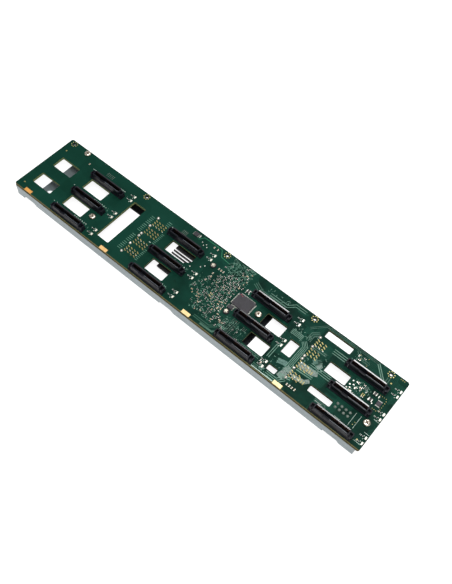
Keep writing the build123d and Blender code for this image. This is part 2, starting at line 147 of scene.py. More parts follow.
def repeat_shape(points, faces, places):
    """One small shape copied to many places, as whole arrays."""
    places = np.atleast_2d(np.asarray(places, float))
    offset = np.zeros((len(places), 1, 3))
    offset[:, 0, : places.shape[1]] = places
    every = (points[None] + offset).reshape(-1, 3)
    return every, [
        tuple(index + k * len(points) for index in face) for k in range(len(places)) for face in faces
    ]


def blocks(centres, sizes, base=0.0, edge=0.12, turn=0.0):
    """Soft-edged blocks: four stacked rectangles each, the top one drawn in, turned in degrees."""
    centres = np.atleast_2d(np.asarray(centres, float))
    sizes = np.broadcast_to(np.atleast_2d(np.asarray(sizes, float)), (len(centres), 3))
    turn = np.radians(np.broadcast_to(np.asarray(turn, float), (len(centres),)))[:, None, None]
    edge = np.minimum(edge, sizes.min(1) * EDGE_SHARE)[:, None, None]
    corners = np.array([[-1, -1], [1, -1], [1, 1], [-1, 1]]) / 2
    flat = corners[None, None] * sizes[:, None, None, :2]
    draw = np.array(RING_DRAW)[None, :, None]
    rings = flat - np.sign(flat) * (draw * edge)[..., None]
    x = rings[..., 0] * np.cos(turn) - rings[..., 1] * np.sin(turn)
    y = rings[..., 0] * np.sin(turn) + rings[..., 1] * np.cos(turn)
    heights = np.array([0, 1, 1, 1])[None] * sizes[:, 2:3]
    drop = np.array(RING_DROP)[None] * edge[:, :, 0]
    z = base + (heights - drop)[..., None] * np.ones(4)
    points = np.stack([x + centres[:, None, None, 0], y + centres[:, None, None, 1], z], -1)
    one = np.concatenate([ring_faces(4, 4), [[3, 2, 1, 0]], [[12, 13, 14, 15]]])
    every = one[None] + (np.arange(len(centres)) * 16)[:, None, None]
    return points.reshape(-1, 3), [tuple(face) for face in every.reshape(-1, 4).tolist()]


def circle(sides, start=0.0):
    """Points evenly spaced round a unit circle."""
    angle = (np.arange(sides) + start) * 2 * np.pi / sides
    return np.stack([np.cos(angle), np.sin(angle)], -1)


def turned(places, profile, sides=20):
    """A profile of (radius, height), from low to high, turned about an upright axis, its end rings closed."""
    profile = np.asarray(profile, float)
    xy = profile[:, :1, None] * circle(sides)[None]
    z = np.broadcast_to(profile[:, 1:, None], (len(profile), sides, 1))
    points = np.concatenate([xy, z], -1).reshape(-1, 3)
    last = (len(profile) - 1) * sides
    caps = [list(range(sides))[::-1], list(range(last, last + sides))]
    return repeat_shape(points, ring_faces(len(profile), sides).tolist() + caps, places)


def tubes(places, outer, inner, low, high, sides=28):
    """Open tubes: a ring section carried round an upright axis and closed on itself."""
    section = np.array([[outer, low], [outer, high], [inner, high], [inner, low], [outer, low]])
    rings = np.concatenate([
        section[:, :1, None] * circle(sides)[None],
        np.broadcast_to(section[:, 1:, None], (5, sides, 1)),
    ], -1)
    faces = ring_faces(5, sides) % (4 * sides)
    return repeat_shape(rings[:4].reshape(-1, 3), faces.tolist(), places)


def mitres(path):
    """The left-hand direction at each point of a path, halved at corners, and the cosine of that half."""
    run = np.diff(path, axis=0)
    run /= np.linalg.norm(run, axis=1, keepdims=True)
    side = np.stack([-run[:, 1], run[:, 0]], -1)
    mitre = np.concatenate([side[:1], side[:-1] + side[1:], side[-1:]])
    mitre /= np.linalg.norm(mitre, axis=1, keepdims=True)
    near = np.concatenate([side[:1], side])
    return mitre, np.clip((mitre * near).sum(1), SHARPEST_MITRE, 1)[:, None]


def ribbon(path, width, height, base=0.0):
    """A flat strip of square section carried along a path with mitred corners."""
    path = np.asarray(path, float)
    mitre, cosine = mitres(path)
    spread = mitre * (width / 2 / cosine)
    low, high = np.full((len(path), 1), base), np.full((len(path), 1), base + height)
    ring = np.stack([
        np.hstack([path + spread, low]), np.hstack([path - spread, low]),
        np.hstack([path - spread, high]), np.hstack([path + spread, high]),
    ], 1)
    end = (len(path) - 1) * 4
    faces = ring_faces(len(path), 4)[:, ::-1].tolist() + [[0, 1, 2, 3], [end + 3, end + 2, end + 1, end]]
    return ring.reshape(-1, 3), [tuple(face) for face in faces]


def bundle(path, count, step, width, height):
    """Parallel ribbons side by side: the path shifted along its own mitred normals."""
    path = np.asarray(path, float)
    mitre, cosine = mitres(path)
    shifts = (np.arange(count) - (count - 1) / 2) * step
    return join_shapes([ribbon(path + mitre / cosine * shift, width, height) for shift in shifts])


def bars(table, height, edge=FLAT_EDGE):
    """Bars of one height from rows of middle x and y and size along x and y."""
    table = np.array(table, float)
    return blocks(table[:, :2], np.insert(table[:, 2:], 2, height, axis=1), edge=edge)


def dots(places, radius, height=0.05, sides=6):
    """Small flat discs with a drawn-in top."""
    return turned(places, [(radius, 0.0), (radius * DISC_TOP, height)], sides)


def grid(x, y, columns, rows):
    """Evenly spaced places over a rectangle."""
    xs, ys = np.meshgrid(np.linspace(*x, columns), np.linspace(*y, rows))
    return np.stack([xs.ravel(), ys.ravel()], -1)


def shifted(places, x=0.0, y=0.0):
    """Places moved by x and y."""
    return np.asarray(places, float) + np.array([x, y])


def end_caps(places, size, along, share):
    """Metal caps on both ends of blocks: each covers a share of the length and stands a little proud."""
    places = np.asarray(places, float)
    size = np.asarray(size, float)
    cap = size + 2 * CAP_PROUD
    cap[2] = size[2] + CAP_PROUD
    cap[along] = size[along] * share
    reach = np.zeros(2)
    reach[along] = (size[along] * (1 - share)) / 2 + CAP_PROUD
    return blocks(np.concatenate([places - reach, places + reach]), cap, edge=LEAD_EDGE)


# Finishes


def link_or_set(socket, value):
    """Joins a socket to another, or sets its value."""
    if isinstance(value, bpy.types.NodeSocket):
        socket.id_data.links.new(value, socket)
    else:
        socket.default_value = value


def add_node(tree, kind, inputs=None, **settings):
    """A shader node of a kind, with its settings and inputs filled in."""
    made = tree.nodes.new("ShaderNode" + kind)
    for key, value in settings.items():
        setattr(made, key, value)
    for key, value in (inputs or {}).items():
        link_or_set(made.inputs[key], value)
    return made


def calc(operation, first, second=0.0):
    """One step of arithmetic."""
    return add_node(first.id_data, "Math", {0: first, 1: second}, operation=operation).outputs[0]


def mix_colours(share, first, second):
    """The first colour where the share is 0, the second where it is 1."""
    mixed = add_node(share.id_data, "Mix", {"Factor": share}, data_type="RGBA")
    link_or_set(mixed.inputs[6], first)
    link_or_set(mixed.inputs[7], second)
    return mixed.outputs[2]


def mix_values(share, first, second):
    """The first value where the share is 0, the second where it is 1."""
    mixed = add_node(share.id_data, "Mix", {"Factor": share, 2: first, 3: second}, data_type="FLOAT")
    return mixed.outputs[0]


def new_group(name, inputs, outputs):
    """An empty node group with named sockets, and its ends."""
    tree = bpy.data.node_groups.new(name, "ShaderNodeTree")
    for side, sockets in (("INPUT", inputs), ("OUTPUT", outputs)):
        for label, kind in sockets:
            tree.interface.new_socket(name=label, in_out=side, socket_type="NodeSocket" + kind)
    return tree, tree.nodes.new("NodeGroupInput").outputs, tree.nodes.new("NodeGroupOutput").inputs


def ramp(value, low, high, to_low=0.0, to_high=1.0):
    """A value carried from one range to another and held at the ends."""
    return add_node(value.id_data, "MapRange", {
        "Value": value, "From Min": low, "From Max": high, "To Min": to_low, "To Max": to_high,
    }).outputs["Result"]


def noise_ramp(tree, given, detail, margin, *to):
    """Noise of a given scale, its range less a margin at both ends carried to another range."""
    noise = add_node(tree, "TexNoise", {
        "Vector": given["Vector"], "Scale": given["Scale"], "Detail": detail,
    })
    return ramp(noise.outputs["Fac"], margin, 1 - margin, *to)


# Detail of the noise, and the margin left out at both ends of its range
GRAIN_NOISE = (5.0, 0.3)
TONE_NOISE = (4.0, 0.35)


def make_groups():
    """The shared effects: grain spreads noise between two values, stripes are 1 on a line and 0 between,
    and two tones mixes two colours in patches."""
    sockets = [("Vector", "Vector"), ("Scale", "Float")]
    ends = [("Low", "Float"), ("High", "Float")]
    tree, given, out = new_group("Grain", sockets + ends, [("Value", "Float")])
    tree.links.new(noise_ramp(tree, given, *GRAIN_NOISE, given["Low"], given["High"]), out["Value"])
    line = [("Place", "Float"), ("Pitch", "Float"), ("Share", "Float")]
    tree, given, out = new_group("Stripes", line, [("Mask", "Float")])
    part = calc("FRACT", calc("DIVIDE", given["Place"], given["Pitch"]))
    tree.links.new(calc("LESS_THAN", part, given["Share"]), out["Mask"])
    tones = [("First", "Color"), ("Second", "Color")]
    tree, given, out = new_group("Two Tones", sockets + tones, [("Color", "Color")])
    share = noise_ramp(tree, given, *TONE_NOISE)
    tree.links.new(mix_colours(share, given["First"], given["Second"]), out["Color"])


def use_group(tree, group, **inputs):
    """A group placed in a material with its own values."""
    return add_node(tree, "Group", inputs, node_tree=bpy.data.node_groups[group]).outputs[0]


def two_tones(place, scale, first, second):
    """Two colours mixed in patches."""
    return use_group(place.id_data, "Two Tones", Vector=place, Scale=scale, First=first, Second=second)


def grain(place, scale, low=0.0, high=1.0):
    """Fine noise between two values."""
    return use_group(place.id_data, "Grain", Vector=place, Scale=scale, Low=low, High=high)


def product(first, *others):
    """Several shares multiplied."""
    for other in others:
        first = calc("MULTIPLY", first, other)
    return first


def past(coordinate, limit):
    """1 where a coordinate is over a limit in millimetres."""
    return calc("GREATER_THAN", coordinate, limit * MM)


def before(coordinate, limit):
    """1 where a coordinate is under a limit in millimetres."""
    return calc("LESS_THAN", coordinate, limit * MM)


def axes(vector):
    """The three parts of a vector."""
    return add_node(vector.id_data, "SeparateXYZ", {"Vector": vector}).outputs


def start_material(name):
    """A new material, its node tree, its shader and its Object coordinates."""
    material = bpy.data.materials.new(name)
    material.use_nodes = True
    tree = material.node_tree
    place = add_node(tree, "TexCoord").outputs["Object"]
    return material, tree, tree.nodes["Principled BSDF"], place


# Plain finishes: depth of the bump, scale of the roughness grain over the bump's, spread of the roughness
BUMP_DEPTH = 0.00002
ROUGH_SCALE = 0.3
ROUGH_SPREAD = (0.8, 1.2)
COAT_ROUGHNESS = 0.1


def surface(shader, colour, rough, metallic, height, bump, depth=BUMP_DEPTH):
    """Feeds colour, roughness, metallic share and a fine bump to the shader."""
    link_or_set(shader.inputs["Base Color"], colour)
    link_or_set(shader.inputs["Roughness"], rough)
    link_or_set(shader.inputs["Metallic"], metallic)
    made = add_node(shader.id_data, "Bump", {"Height": height, "Strength": bump, "Distance": depth})
    link_or_set(shader.inputs["Normal"], made.outputs["Normal"])


def finish_material(name, first, second, scale, rough, bump, fine=1500.0, metallic=0.0, specular=0.5,
                    coat=0.0):
    """A finish of two close tones, with grain in its roughness and a fine bump."""
    material, _, shader, place = start_material(name)
    colour = two_tones(place, scale, srgb(*first), srgb(*second))
    low, high = (min(1.0, rough * share) for share in ROUGH_SPREAD)
    roughness = grain(place, fine * ROUGH_SCALE, low, high)
    surface(shader, colour, roughness, metallic, grain(place, fine), bump)
    shader.inputs["Coat Weight"].default_value = coat
    shader.inputs["Coat Roughness"].default_value = COAT_ROUGHNESS
    shader.inputs["Specular IOR Level"].default_value = specular
    return material


# Solder mask: routing lines show through it in cells, each cell with its own direction
ROUTING_CELL_SCALE = 62.0
ROUTING_CELL_UNEVEN = 0.8
ROUTING_PITCH = 0.0011
ROUTING_SHARE = 0.42
ROUTING_SHOWN = 0.52
ROUTING_WAYS = 4
BUSY_FROM_X = -0.03
BUSY_TO_X = 0.05
BUSY_LEAST = 0.25


def routing_lines(tree, place, axis):
    """Lines of masked copper: a cell texture picks one of four directions and whether lines show."""
    cells = add_node(tree, "TexVoronoi", {
        "Vector": place, "Scale": ROUTING_CELL_SCALE, "Randomness": ROUTING_CELL_UNEVEN,
    }, distance="CHEBYCHEV")
    picked = add_node(tree, "SeparateColor", {0: cells.outputs["Color"]}).outputs
    turns = calc("FLOOR", product(picked[0], ROUTING_WAYS))
    angle = product(turns, math.pi / ROUTING_WAYS)
    across = calc("ADD", product(axis["X"], calc("COSINE", angle)), product(axis["Y"], calc("SINE", angle)))
    lines = use_group(tree, "Stripes", Place=across, Pitch=ROUTING_PITCH, Share=ROUTING_SHARE)
    busy = ramp(axis["X"], BUSY_FROM_X, BUSY_TO_X, BUSY_LEAST)
    return product(lines, calc("GREATER_THAN", picked[1], ROUTING_SHOWN), busy)


FACE_LEAST = 0.5  # a surface is a face, and not a wall, over this upright share of its normal
MASK_SPECULAR = 0.05
MASK_ROUGH = (300.0, 0.42, 0.54)  # scale of the grain, least and most
MASK_WEAVE = (1400.0, 0.0, 0.6)
MASK_BUMP = (0.2, 0.00003)  # strength and depth
LAMINATE_ROUGHNESS = 0.8
# The mask's own tones, as patch scale and second tone, and where the calm end runs into the busy one
CALM_MASK = (26.0, srgb(15, 56, 45))
BUSY_MASK = (55.0, srgb(2, 33, 25))
MASK_FROM_X = -0.06
MASK_TO_X = 0.03
LINE_TONE = srgb(30, 84, 68)
LINE_STRENGTH = 0.55
# The laminate's patch scale and two tones on the near edge and on cut edges, and its layers
NEAR_EDGE = (900.0, srgb(112, 104, 72), srgb(92, 86, 56))
CUT_EDGE = (900.0, srgb(146, 158, 112), srgb(120, 132, 88))
LAYER_TONE = srgb(70, 62, 38)
LAYER_PITCH = 0.00042
LAYER_SHARE = 0.3
LAYER_STRENGTH = 0.5
# The windows' walls, with painted shade: the band below the face that keeps the laminate's tone, the reach
# along and across, and the painted shade tone under it
WALL_LIT = 1.3
WALLS_FROM = 150.0
WALLS_UP_TO = (400.0, 78.0)
WALL_PAINTED_SHADE = srgb(26, 26, 20)


def board_material(colours):
    """Solder mask over copper on the faces, and layered glass laminate on cut edges and the bare strip, with
    painted shade on the lower part of the windows' walls.
    """
    material, tree, shader, place = start_material("solder mask")
    axis = axes(place)
    upright = axes(add_node(tree, "NewGeometry").outputs["True Normal"])["Z"]
    face = calc("GREATER_THAN", calc("ABSOLUTE", upright), FACE_LEAST)
    masked = product(face, past(axis["Y"], NEAR))
    calm = two_tones(place, CALM_MASK[0], (*colours.mask_dark, 1.0), CALM_MASK[1])
    busy = two_tones(place, BUSY_MASK[0], BUSY_MASK[1], (*colours.mask_light, 1.0))
    green = mix_colours(ramp(axis["X"], MASK_FROM_X, MASK_TO_X), calm, busy)
    lines = routing_lines(tree, place, axis)
    green = mix_colours(product(lines, LINE_STRENGTH), green, LINE_TONE)
    near, cut = (two_tones(place, *tones) for tones in (NEAR_EDGE, CUT_EDGE))
    inside = past(axis["Y"], NEAR + BARE_EDGE)
    layers = use_group(tree, "Stripes", Place=axis["Z"], Pitch=LAYER_PITCH, Share=LAYER_SHARE)
    laminate = mix_colours(inside, near, cut)
    laminate = mix_colours(product(layers, LAYER_STRENGTH), laminate, LAYER_TONE)
    # painted shade: the windows' walls below the lit band take a dark tone
    under = product(
        inside, past(axis["X"], LEFT + WALLS_FROM),
        before(axis["X"], LEFT + WALLS_UP_TO[0]), before(axis["Y"], NEAR + WALLS_UP_TO[1]),
        before(axis["Z"], TOP - WALL_LIT),
    )
    laminate = mix_colours(under, laminate, WALL_PAINTED_SHADE)
    gloss = mix_values(masked, LAMINATE_ROUGHNESS, grain(place, *MASK_ROUGH))
    weave = calc("ADD", grain(place, *MASK_WEAVE), lines)
    surface(shader, mix_colours(masked, laminate, green), gloss, 0.0, weave, *MASK_BUMP)
    shader.inputs["Specular IOR Level"].default_value = MASK_SPECULAR
    return material


# Plated pads are warmer at the left end and paler at the right end, as painted light that grows to the right:
# patch scale and two tones of each
GOLD_FROM_X = -0.2
GOLD_TO_X = 0.07
GOLD_SHADED_WARM = (300.0, srgb(236, 168, 84), srgb(226, 158, 78))
GOLD_LIT_PALE = (300.0, srgb(248, 230, 176), srgb(240, 216, 156))
GOLD_ROUGH = (400.0, 0.4, 0.55)
GOLD_METALLIC = 0.3
GOLD_GRAIN = 1200.0
GOLD_BUMP = 0.05


def gold_material():
    """Thin gold plate whose tone runs from warm to pale along the board, as painted light that grows towards
    the right end.
    """
    material, _, shader, place = start_material("gold plate")
    axis = axes(place)
    warm, pale = (two_tones(place, *tones) for tones in (GOLD_SHADED_WARM, GOLD_LIT_PALE))
    # painted light: the pads pale towards the lit right end
    colour = mix_colours(ramp(axis["X"], GOLD_FROM_X, GOLD_TO_X), warm, pale)
    rough, fine = grain(place, *GOLD_ROUGH), grain(place, GOLD_GRAIN)
    surface(shader, colour, rough, GOLD_METALLIC, fine, GOLD_BUMP)
    return material


# Steel: painted shade makes the inside of the channel darker than its outer face and its floor at the left
# end
STEEL_SHADE_BEHIND = 1.6
STEEL_FLOOR_TOP = 1.4
STEEL_SHADE_FROM = 60.0
STEEL_GRAIN_STRETCH = (0.15, 1.0, 1.0)
STEEL_OUTSIDE = (90.0, srgb(140, 151, 154), srgb(152, 162, 165))
STEEL_PAINTED_SHADE = (140.0, srgb(22, 24, 27), srgb(34, 37, 41))
STEEL_ROUGH = (540.0, 0.36, 0.5)
STEEL_METALLIC = 0.6
STEEL_GRAIN = 1800.0
STEEL_BUMP = 0.1


def steel_material():
    """Brushed steel with the grain along the rail, with painted shade inside the channel."""
    material, tree, shader, place = start_material("steel")
    axis = axes(place)
    stretched = add_node(tree, "Mapping", {"Vector": place, "Scale": STEEL_GRAIN_STRETCH})
    drawn = stretched.outputs["Vector"]
    outside, inside = (two_tones(drawn, *tones) for tones in (STEEL_OUTSIDE, STEEL_PAINTED_SHADE))
    above, along = past(axis["Z"], STEEL_FLOOR_TOP), past(axis["X"], LEFT + STEEL_SHADE_FROM)
    behind = past(axis["Y"], NEAR + STEEL_SHADE_BEHIND)
    # painted shade: behind the outer face, the channel's walls and its floor past the left end take the dark
    # tone
    dark = product(behind, calc("MAXIMUM", above, along))
    rough, fine = grain(drawn, *STEEL_ROUGH), grain(drawn, STEEL_GRAIN)
    surface(shader, mix_colours(dark, outside, inside), rough, STEEL_METALLIC, fine, STEEL_BUMP)
    return material


# Screws: patch scale and two tones of the plating and of the recess, then roughness and metallic shares
PLATING = (400.0, srgb(234, 228, 212), srgb(216, 204, 186))
RECESS = (900.0, srgb(112, 82, 66), srgb(70, 52, 44))
PLATING_ROUGH = (750.0, 0.24, 0.36)
RECESS_ROUGHNESS = 0.6
RECESS_METALLIC = 0.3
SCREW_GRAIN = 2500.0
SCREW_BUMP = 0.05


def screw_material():
    """Bright nickel, dull and brown in the recess, which the mesh marks with its own attribute."""
    material, tree, shader, place = start_material("screw")
    recess = add_node(tree, "Attribute", attribute_name="recess").outputs["Fac"]
    colour = mix_colours(recess, *(two_tones(place, *tones) for tones in (PLATING, RECESS)))
    rough = mix_values(recess, grain(place, *PLATING_ROUGH), RECESS_ROUGHNESS)
    metallic = mix_values(recess, 1.0, RECESS_METALLIC)
    surface(shader, colour, rough, metallic, grain(place, SCREW_GRAIN), SCREW_BUMP)
    return material


# Each finish: two tones, scale of their patches, roughness, bump, then where they differ from plain
# plastic the scale of the fine grain, the metallic and specular shares and the coat
FINISHES = {
    "nickel": ((234, 228, 212), (216, 204, 186), 400, 0.28, 0.05, 2500, 1),
    "tin": ((226, 226, 218), (200, 200, 190), 700, 0.4, 0.1, 2500, 0.7),
    "bright joint": ((244, 240, 230), (222, 216, 206), 700, 0.28, 0.1, 2500, 0.8),
    "dull tin": ((150, 158, 150), (112, 122, 114), 700, 0.5, 0.1, 2500, 0.6),
    "pad gold": ((178, 164, 104), (142, 134, 84), 500, 0.45, 0.05, 2000, 0.6),
    "pale gold": ((212, 200, 138), (182, 168, 112), 500, 0.45, 0.05, 2000, 0.5),
    "black plastic": ((15, 16, 23), (24, 26, 34), 120, 0.46, 0.2, 900, 0, 0.2),
    "polished rim": ((20, 22, 28), (28, 30, 36), 160, 0.2, 0.05, 900, 0, 1, 1),
    "contact": ((96, 66, 50), (62, 42, 34), 800, 0.35, 0.05, 2500, 1),
    "chip": ((38, 36, 41), (46, 44, 50), 200, 0.6, 0.25, 1600),
    "black metal": ((14, 14, 16), (22, 21, 22), 100, 0.5, 0.15, 1200, 0.3),
    "lens": ((246, 244, 228), (232, 230, 212), 600, 0.3, 0.05, 900, 0, 0.5, 0.4),
    "resistor": ((20, 20, 22), (34, 32, 34), 600, 0.5, 0.1),
    "capacitor": ((168, 142, 100), (128, 102, 72), 500, 0.5, 0.1),
    "coil": ((44, 42, 44), (58, 54, 54), 500, 0.55, 0.15),
    # painted highlight: a pale grey line on the near wall's lip
    "painted edge highlight": ((98, 102, 106), (84, 88, 94), 500, 0.4, 0.05, 900, 0, 0.4),
    # painted shade: the barrel's near-black tone stands for the shade inside the mounting holes
    "barrel": ((24, 20, 17), (16, 13, 12), 800, 0.5, 0.05, 2500, 0.4),
    "trace": ((28, 86, 66), (20, 72, 55), 160, 0.4, 0.08, 900, 0, 0.4),
    "pale trace": ((96, 138, 120), (72, 118, 98), 160, 0.4, 0.08, 900, 0, 0.4),
    "bright trace": ((10, 116, 76), (8, 100, 66), 160, 0.36, 0.08, 900),
    # partly painted sheen: the pale and light pours are copper fields made whitish to stand for the lamp's
    # glare on the right of the board
    "pale pour": ((88, 122, 112), (54, 90, 80), 700, 0.5, 0.08, 900, 0, 0.25),
    "light pour": ((134, 146, 140), (74, 100, 90), 900, 0.5, 0.08, 900, 0, 0.25),
    "dark pour": ((6, 40, 30), (10, 50, 38), 160, 0.55, 0.08, 900, 0, 0.06),
    "print": ((190, 204, 194), (160, 182, 170), 500, 0.6, 0.1),
    "red ink": ((176, 60, 66), (150, 48, 56), 900, 0.6, 0.1),
}
MATERIALS = {}

CAD_FINISH = {
    "circuit_board": "board",
    "steel_bracket": "steel",
    "bracket_standoffs": "nickel",
    "bracket_screws": "nickel",
    "heatsink_pins": "nickel",
    "heatsink_pin_collars": "black plastic",
    "expander_chip": "chip",
    "expander_heatsink": "black metal",
    "signal_connector_pins": "tin",
    "power_connector": "black plastic",
    "power_connector_pins": "tin",
    "control_chip": "chip",
    "small_chips": "chip",
    "status_lights": "lens",
    "light_resistors": "resistor",
    "ceramic_capacitors": "capacitor",
    "power_coils": "coil",
    "ground_pads": "gold",
    "drive_contacts": "contact",
    "drive_receptacle": "black plastic",
    "signal_connector": "black plastic",
}


def cad_finish(node):
    """The finish of one carried-over CAD node, by its name or the start of it."""
    return CAD_FINISH.get(node) or next(CAD_FINISH[key] for key in CAD_FINISH if node.startswith(key))


class BackplaneSizes(bpy.types.PropertyGroup):
    """Sizes that a user would change."""
    trace_height: bpy.props.FloatProperty(
        name="Trace height", description="How far masked copper stands above the board",
        default=0.00004, unit="LENGTH", precision=6)
    pad_height: bpy.props.FloatProperty(
        name="Pad height", description="How far bare pads and print stand above the board",
        default=0.00006, unit="LENGTH", precision=6)
    joint_height: bpy.props.FloatProperty(
        name="Solder joint height", description="Height of the round joints on the front",
        default=0.0012, unit="LENGTH", precision=5)
    screw_radius: bpy.props.FloatProperty(
        name="Screw head radius", description="Half the width of a screw head",
        default=0.00345, unit="LENGTH", precision=5)
    seed: bpy.props.IntProperty(
        name="Scatter seed", description="Seed for the fields of tiny parts", default=7)


class BackplaneColours(bpy.types.PropertyGroup):
    """Colours that a user would change."""
    floor: bpy.props.FloatVectorProperty(
        name="Floor", description="Colour of the floor and background",
        default=(0.9, 0.9, 0.9), subtype="COLOR", size=3)
    glow: bpy.props.FloatProperty(
        name="Background light", description="How bright the floor shows to the camera, 1 is white",
        default=0.9)
    mask_dark: bpy.props.FloatVectorProperty(
        name="Mask, calm end", description="Solder mask at the calm left end",
        default=srgb(10, 47, 36)[:3], subtype="COLOR", size=3)
    mask_light: bpy.props.FloatVectorProperty(
        name="Mask, busy end", description="Solder mask over copper at the busy right end",
        default=srgb(9, 52, 41)[:3], subtype="COLOR", size=3)


# The stage


def camera_matrix():
    """The camera's place and turn as one matrix, its columns right, up and back."""
    right, up = Vector(CAMERA_RIGHT), Vector(CAMERA_UP)
    turn = Matrix((right, up, right.cross(up))).transposed().to_4x4()
    place = Vector(to_metres([CAMERA_FROM_CORNER])[0])
    return Matrix.Translation(place) @ turn


def add_light(name, place, target, size, power):
    """A soft rectangular lamp that points at a target."""
    lamp = bpy.data.lights.new(name, "AREA")
    lamp.shape = "RECTANGLE"
    lamp.size, lamp.size_y = size
    lamp.energy = power
    holder = bpy.data.objects.new(name, lamp)
    holder.location = place
    holder.rotation_euler = (Vector(target) - Vector(place)).to_track_quat("-Z", "Y").to_euler()
    bpy.context.scene.collection.objects.link(holder)


FLOOR_SHARE = 0.4  # how much of the floor's colour it shows by light that falls on it


def floor_material(colours):
    """A pale floor that shows white to the camera and in reflections, and still takes a soft shadow."""
    material = bpy.data.materials.new("pale floor")
    material.use_nodes = True
    tree = material.node_tree
    tree.nodes.clear()
    path = add_node(tree, "LightPath").outputs
    seen = calc("MAXIMUM", path["Is Camera Ray"], path["Is Glossy Ray"])
    seen = calc("MAXIMUM", seen, path["Is Transmission Ray"])
    strength = calc("MULTIPLY", seen, colours.glow)
    glow = add_node(tree, "Emission", {"Color": (1, 1, 1, 1), "Strength": strength})
    shade = [value * FLOOR_SHARE for value in colours.floor]
    matt = add_node(tree, "BsdfDiffuse", {"Color": (*shade, 1)})
    both = add_node(tree, "AddShader", {0: glow.outputs[0], 1: matt.outputs[0]})
    add_node(tree, "OutputMaterial", {"Surface": both.outputs[0]})
    return material


# Each lamp: place, target, size in metres and power in watts
LAMPS = {
    "rim softbox": ((0.06, 0.62, 1.1), (0.05, 0.0, 0.0), (0.38, 0.35), 3.6),
    "small softbox": ((-0.22, 0.68, 1.1), (0.05, 0.0, 0.0), (0.2, 0.2), 1.1),
    "top softbox": ((0.25, -0.15, 1.3), (0.0, 0.0, 0.0), (0.7, 0.7), 14.5),
    "front softbox": ((-0.7, -0.9, 0.5), (0.0, 0.0, 0.0), (0.9, 0.7), 1.2),
    "side softbox": ((1.0, -0.4, 0.7), (0.0, 0.0, 0.0), (0.8, 0.8), 1.2),
}
WORLD_LIGHT = 0.24
FLOOR_REACH = 6.0
FLOOR_HEIGHT = -0.0001
CAMERA_CLIP = (0.01, 20.0)


class BACKPLANE_OT_stage(bpy.types.Operator):
    """Makes the floor, the soft lamps, the world and the camera."""
    bl_idname = "backplane.stage"
    bl_label = "Stage"

    def execute(self, context):
        scene = context.scene
        mesh = bpy.data.meshes.new("floor")
        corners = np.array([[-1, -1, 0], [1, -1, 0], [1, 1, 0], [-1, 1, 0]]) * FLOOR_REACH
        mesh.from_pydata(corners, [], [(0, 1, 2, 3)])
        mesh.materials.append(floor_material(scene.backplane_colours))
        floor = bpy.data.objects.new("floor", mesh)
        floor.location.z = FLOOR_HEIGHT
        scene.collection.objects.link(floor)
        for name, lamp in LAMPS.items():
            add_light(name, *lamp)
        world = bpy.data.worlds.new("studio")
        world.use_nodes = True
        tree = world.node_tree
        back = tree.nodes["Background"]
        back.inputs["Color"].default_value = (1.0, 1.0, 1.0, 1.0)
        seen = add_node(tree, "LightPath").outputs["Is Camera Ray"]
        tree.links.new(mix_values(seen, WORLD_LIGHT, 1.0), back.inputs["Strength"])
        scene.world = world
        camera = bpy.data.cameras.new("camera")
        camera.sensor_width = SENSOR
        camera.lens = SENSOR * FOCAL_SHARE
        camera.clip_start, camera.clip_end = CAMERA_CLIP
        holder = bpy.data.objects.new("camera", camera)
        holder.matrix_world = camera_matrix()
        scene.collection.objects.link(holder)
        scene.camera = holder
        scene.view_settings.view_transform = "Standard"
        return {"FINISHED"}


class BACKPLANE_OT_finishes(bpy.types.Operator):
    """Makes every finish and gives the carried-over CAD nodes theirs."""
    bl_idname = "backplane.finishes"
    bl_label = "Finishes"

    def execute(self, context):
        make_groups()
        MATERIALS["board"] = board_material(context.scene.backplane_colours)
        MATERIALS["gold"] = gold_material()
        MATERIALS["steel"] = steel_material()
        MATERIALS["screw"] = screw_material()
        for name, row in FINISHES.items():
            MATERIALS[name] = finish_material(name, *row)
        for name, node in NODES.items():
            node.data.materials.clear()
            node.data.materials.append(MATERIALS[cad_finish(name)])
        return {"FINISHED"}


# Screws and soldered pins on the front
SCREW_PLACES = ((27, 76.2), (90.3, 21.6), (285, 45), (421, 24.1))
SCREW_HEAD_HEIGHT = 2.2
SCREW_BODY_RADIUS = 1.7
SCREW_BODY_LENGTH = 8.0
SCREW_TURNS = (0.5, 1.2, 1.9, 2.6)  # in radians
# The head's mesh, its dome's drops towards the rim, and the cross recess with its sloping walls
HEAD_RINGS = 26
HEAD_SIDES = 72
HEAD_INNERMOST = 0.02
HEAD_RING_SPREAD = 0.9
CROWN_DROP = 0.18
RIM_DROP = 0.42
RECESS_ARM = 1.9
RECESS_HALF_MOUTH = 0.525
RECESS_SLOPE = 0.25
RECESS_END = 0.5
RECESS_DEPTH = 1.25
# Shank profile, as shares of the body's radius and heights over its low end
SHANK_TIP = (0.7, 0.6)
SHANK_TOP = 0.05
SHANK_SIDES = 24
SHELL_PIN_X = (140.5, 342.7)
SHELL_PIN_Y = (11.9, 24, 36.1, 39.9, 52, 64.1)
# The power connector's pins: x range, y range, columns and rows
POWER_PINS = ((392, 405.2), (18.2, 22.4), 4, 2)
JOINT_SIDES = (20, 18)
# Joint profiles as (radius, height) from the pin's low end up, the tall dome's heights as shares of its own
TALL_FOOT = ((0.6, -3), (0.6, 0), (1.6, 0), (1.55, 0.25))
TALL_DOME = ((1.25, 0.6), (0.8, 1), (0.45, 1.15), (0.1, 1.2))
LOW_JOINT = ((0.6, -12.4), (0.6, 0), (1.4, 0), (1.3, 0.2), (0.95, 0.5), (0.6, 0.8), (0.45, 0.9), (0.1, 0.95))


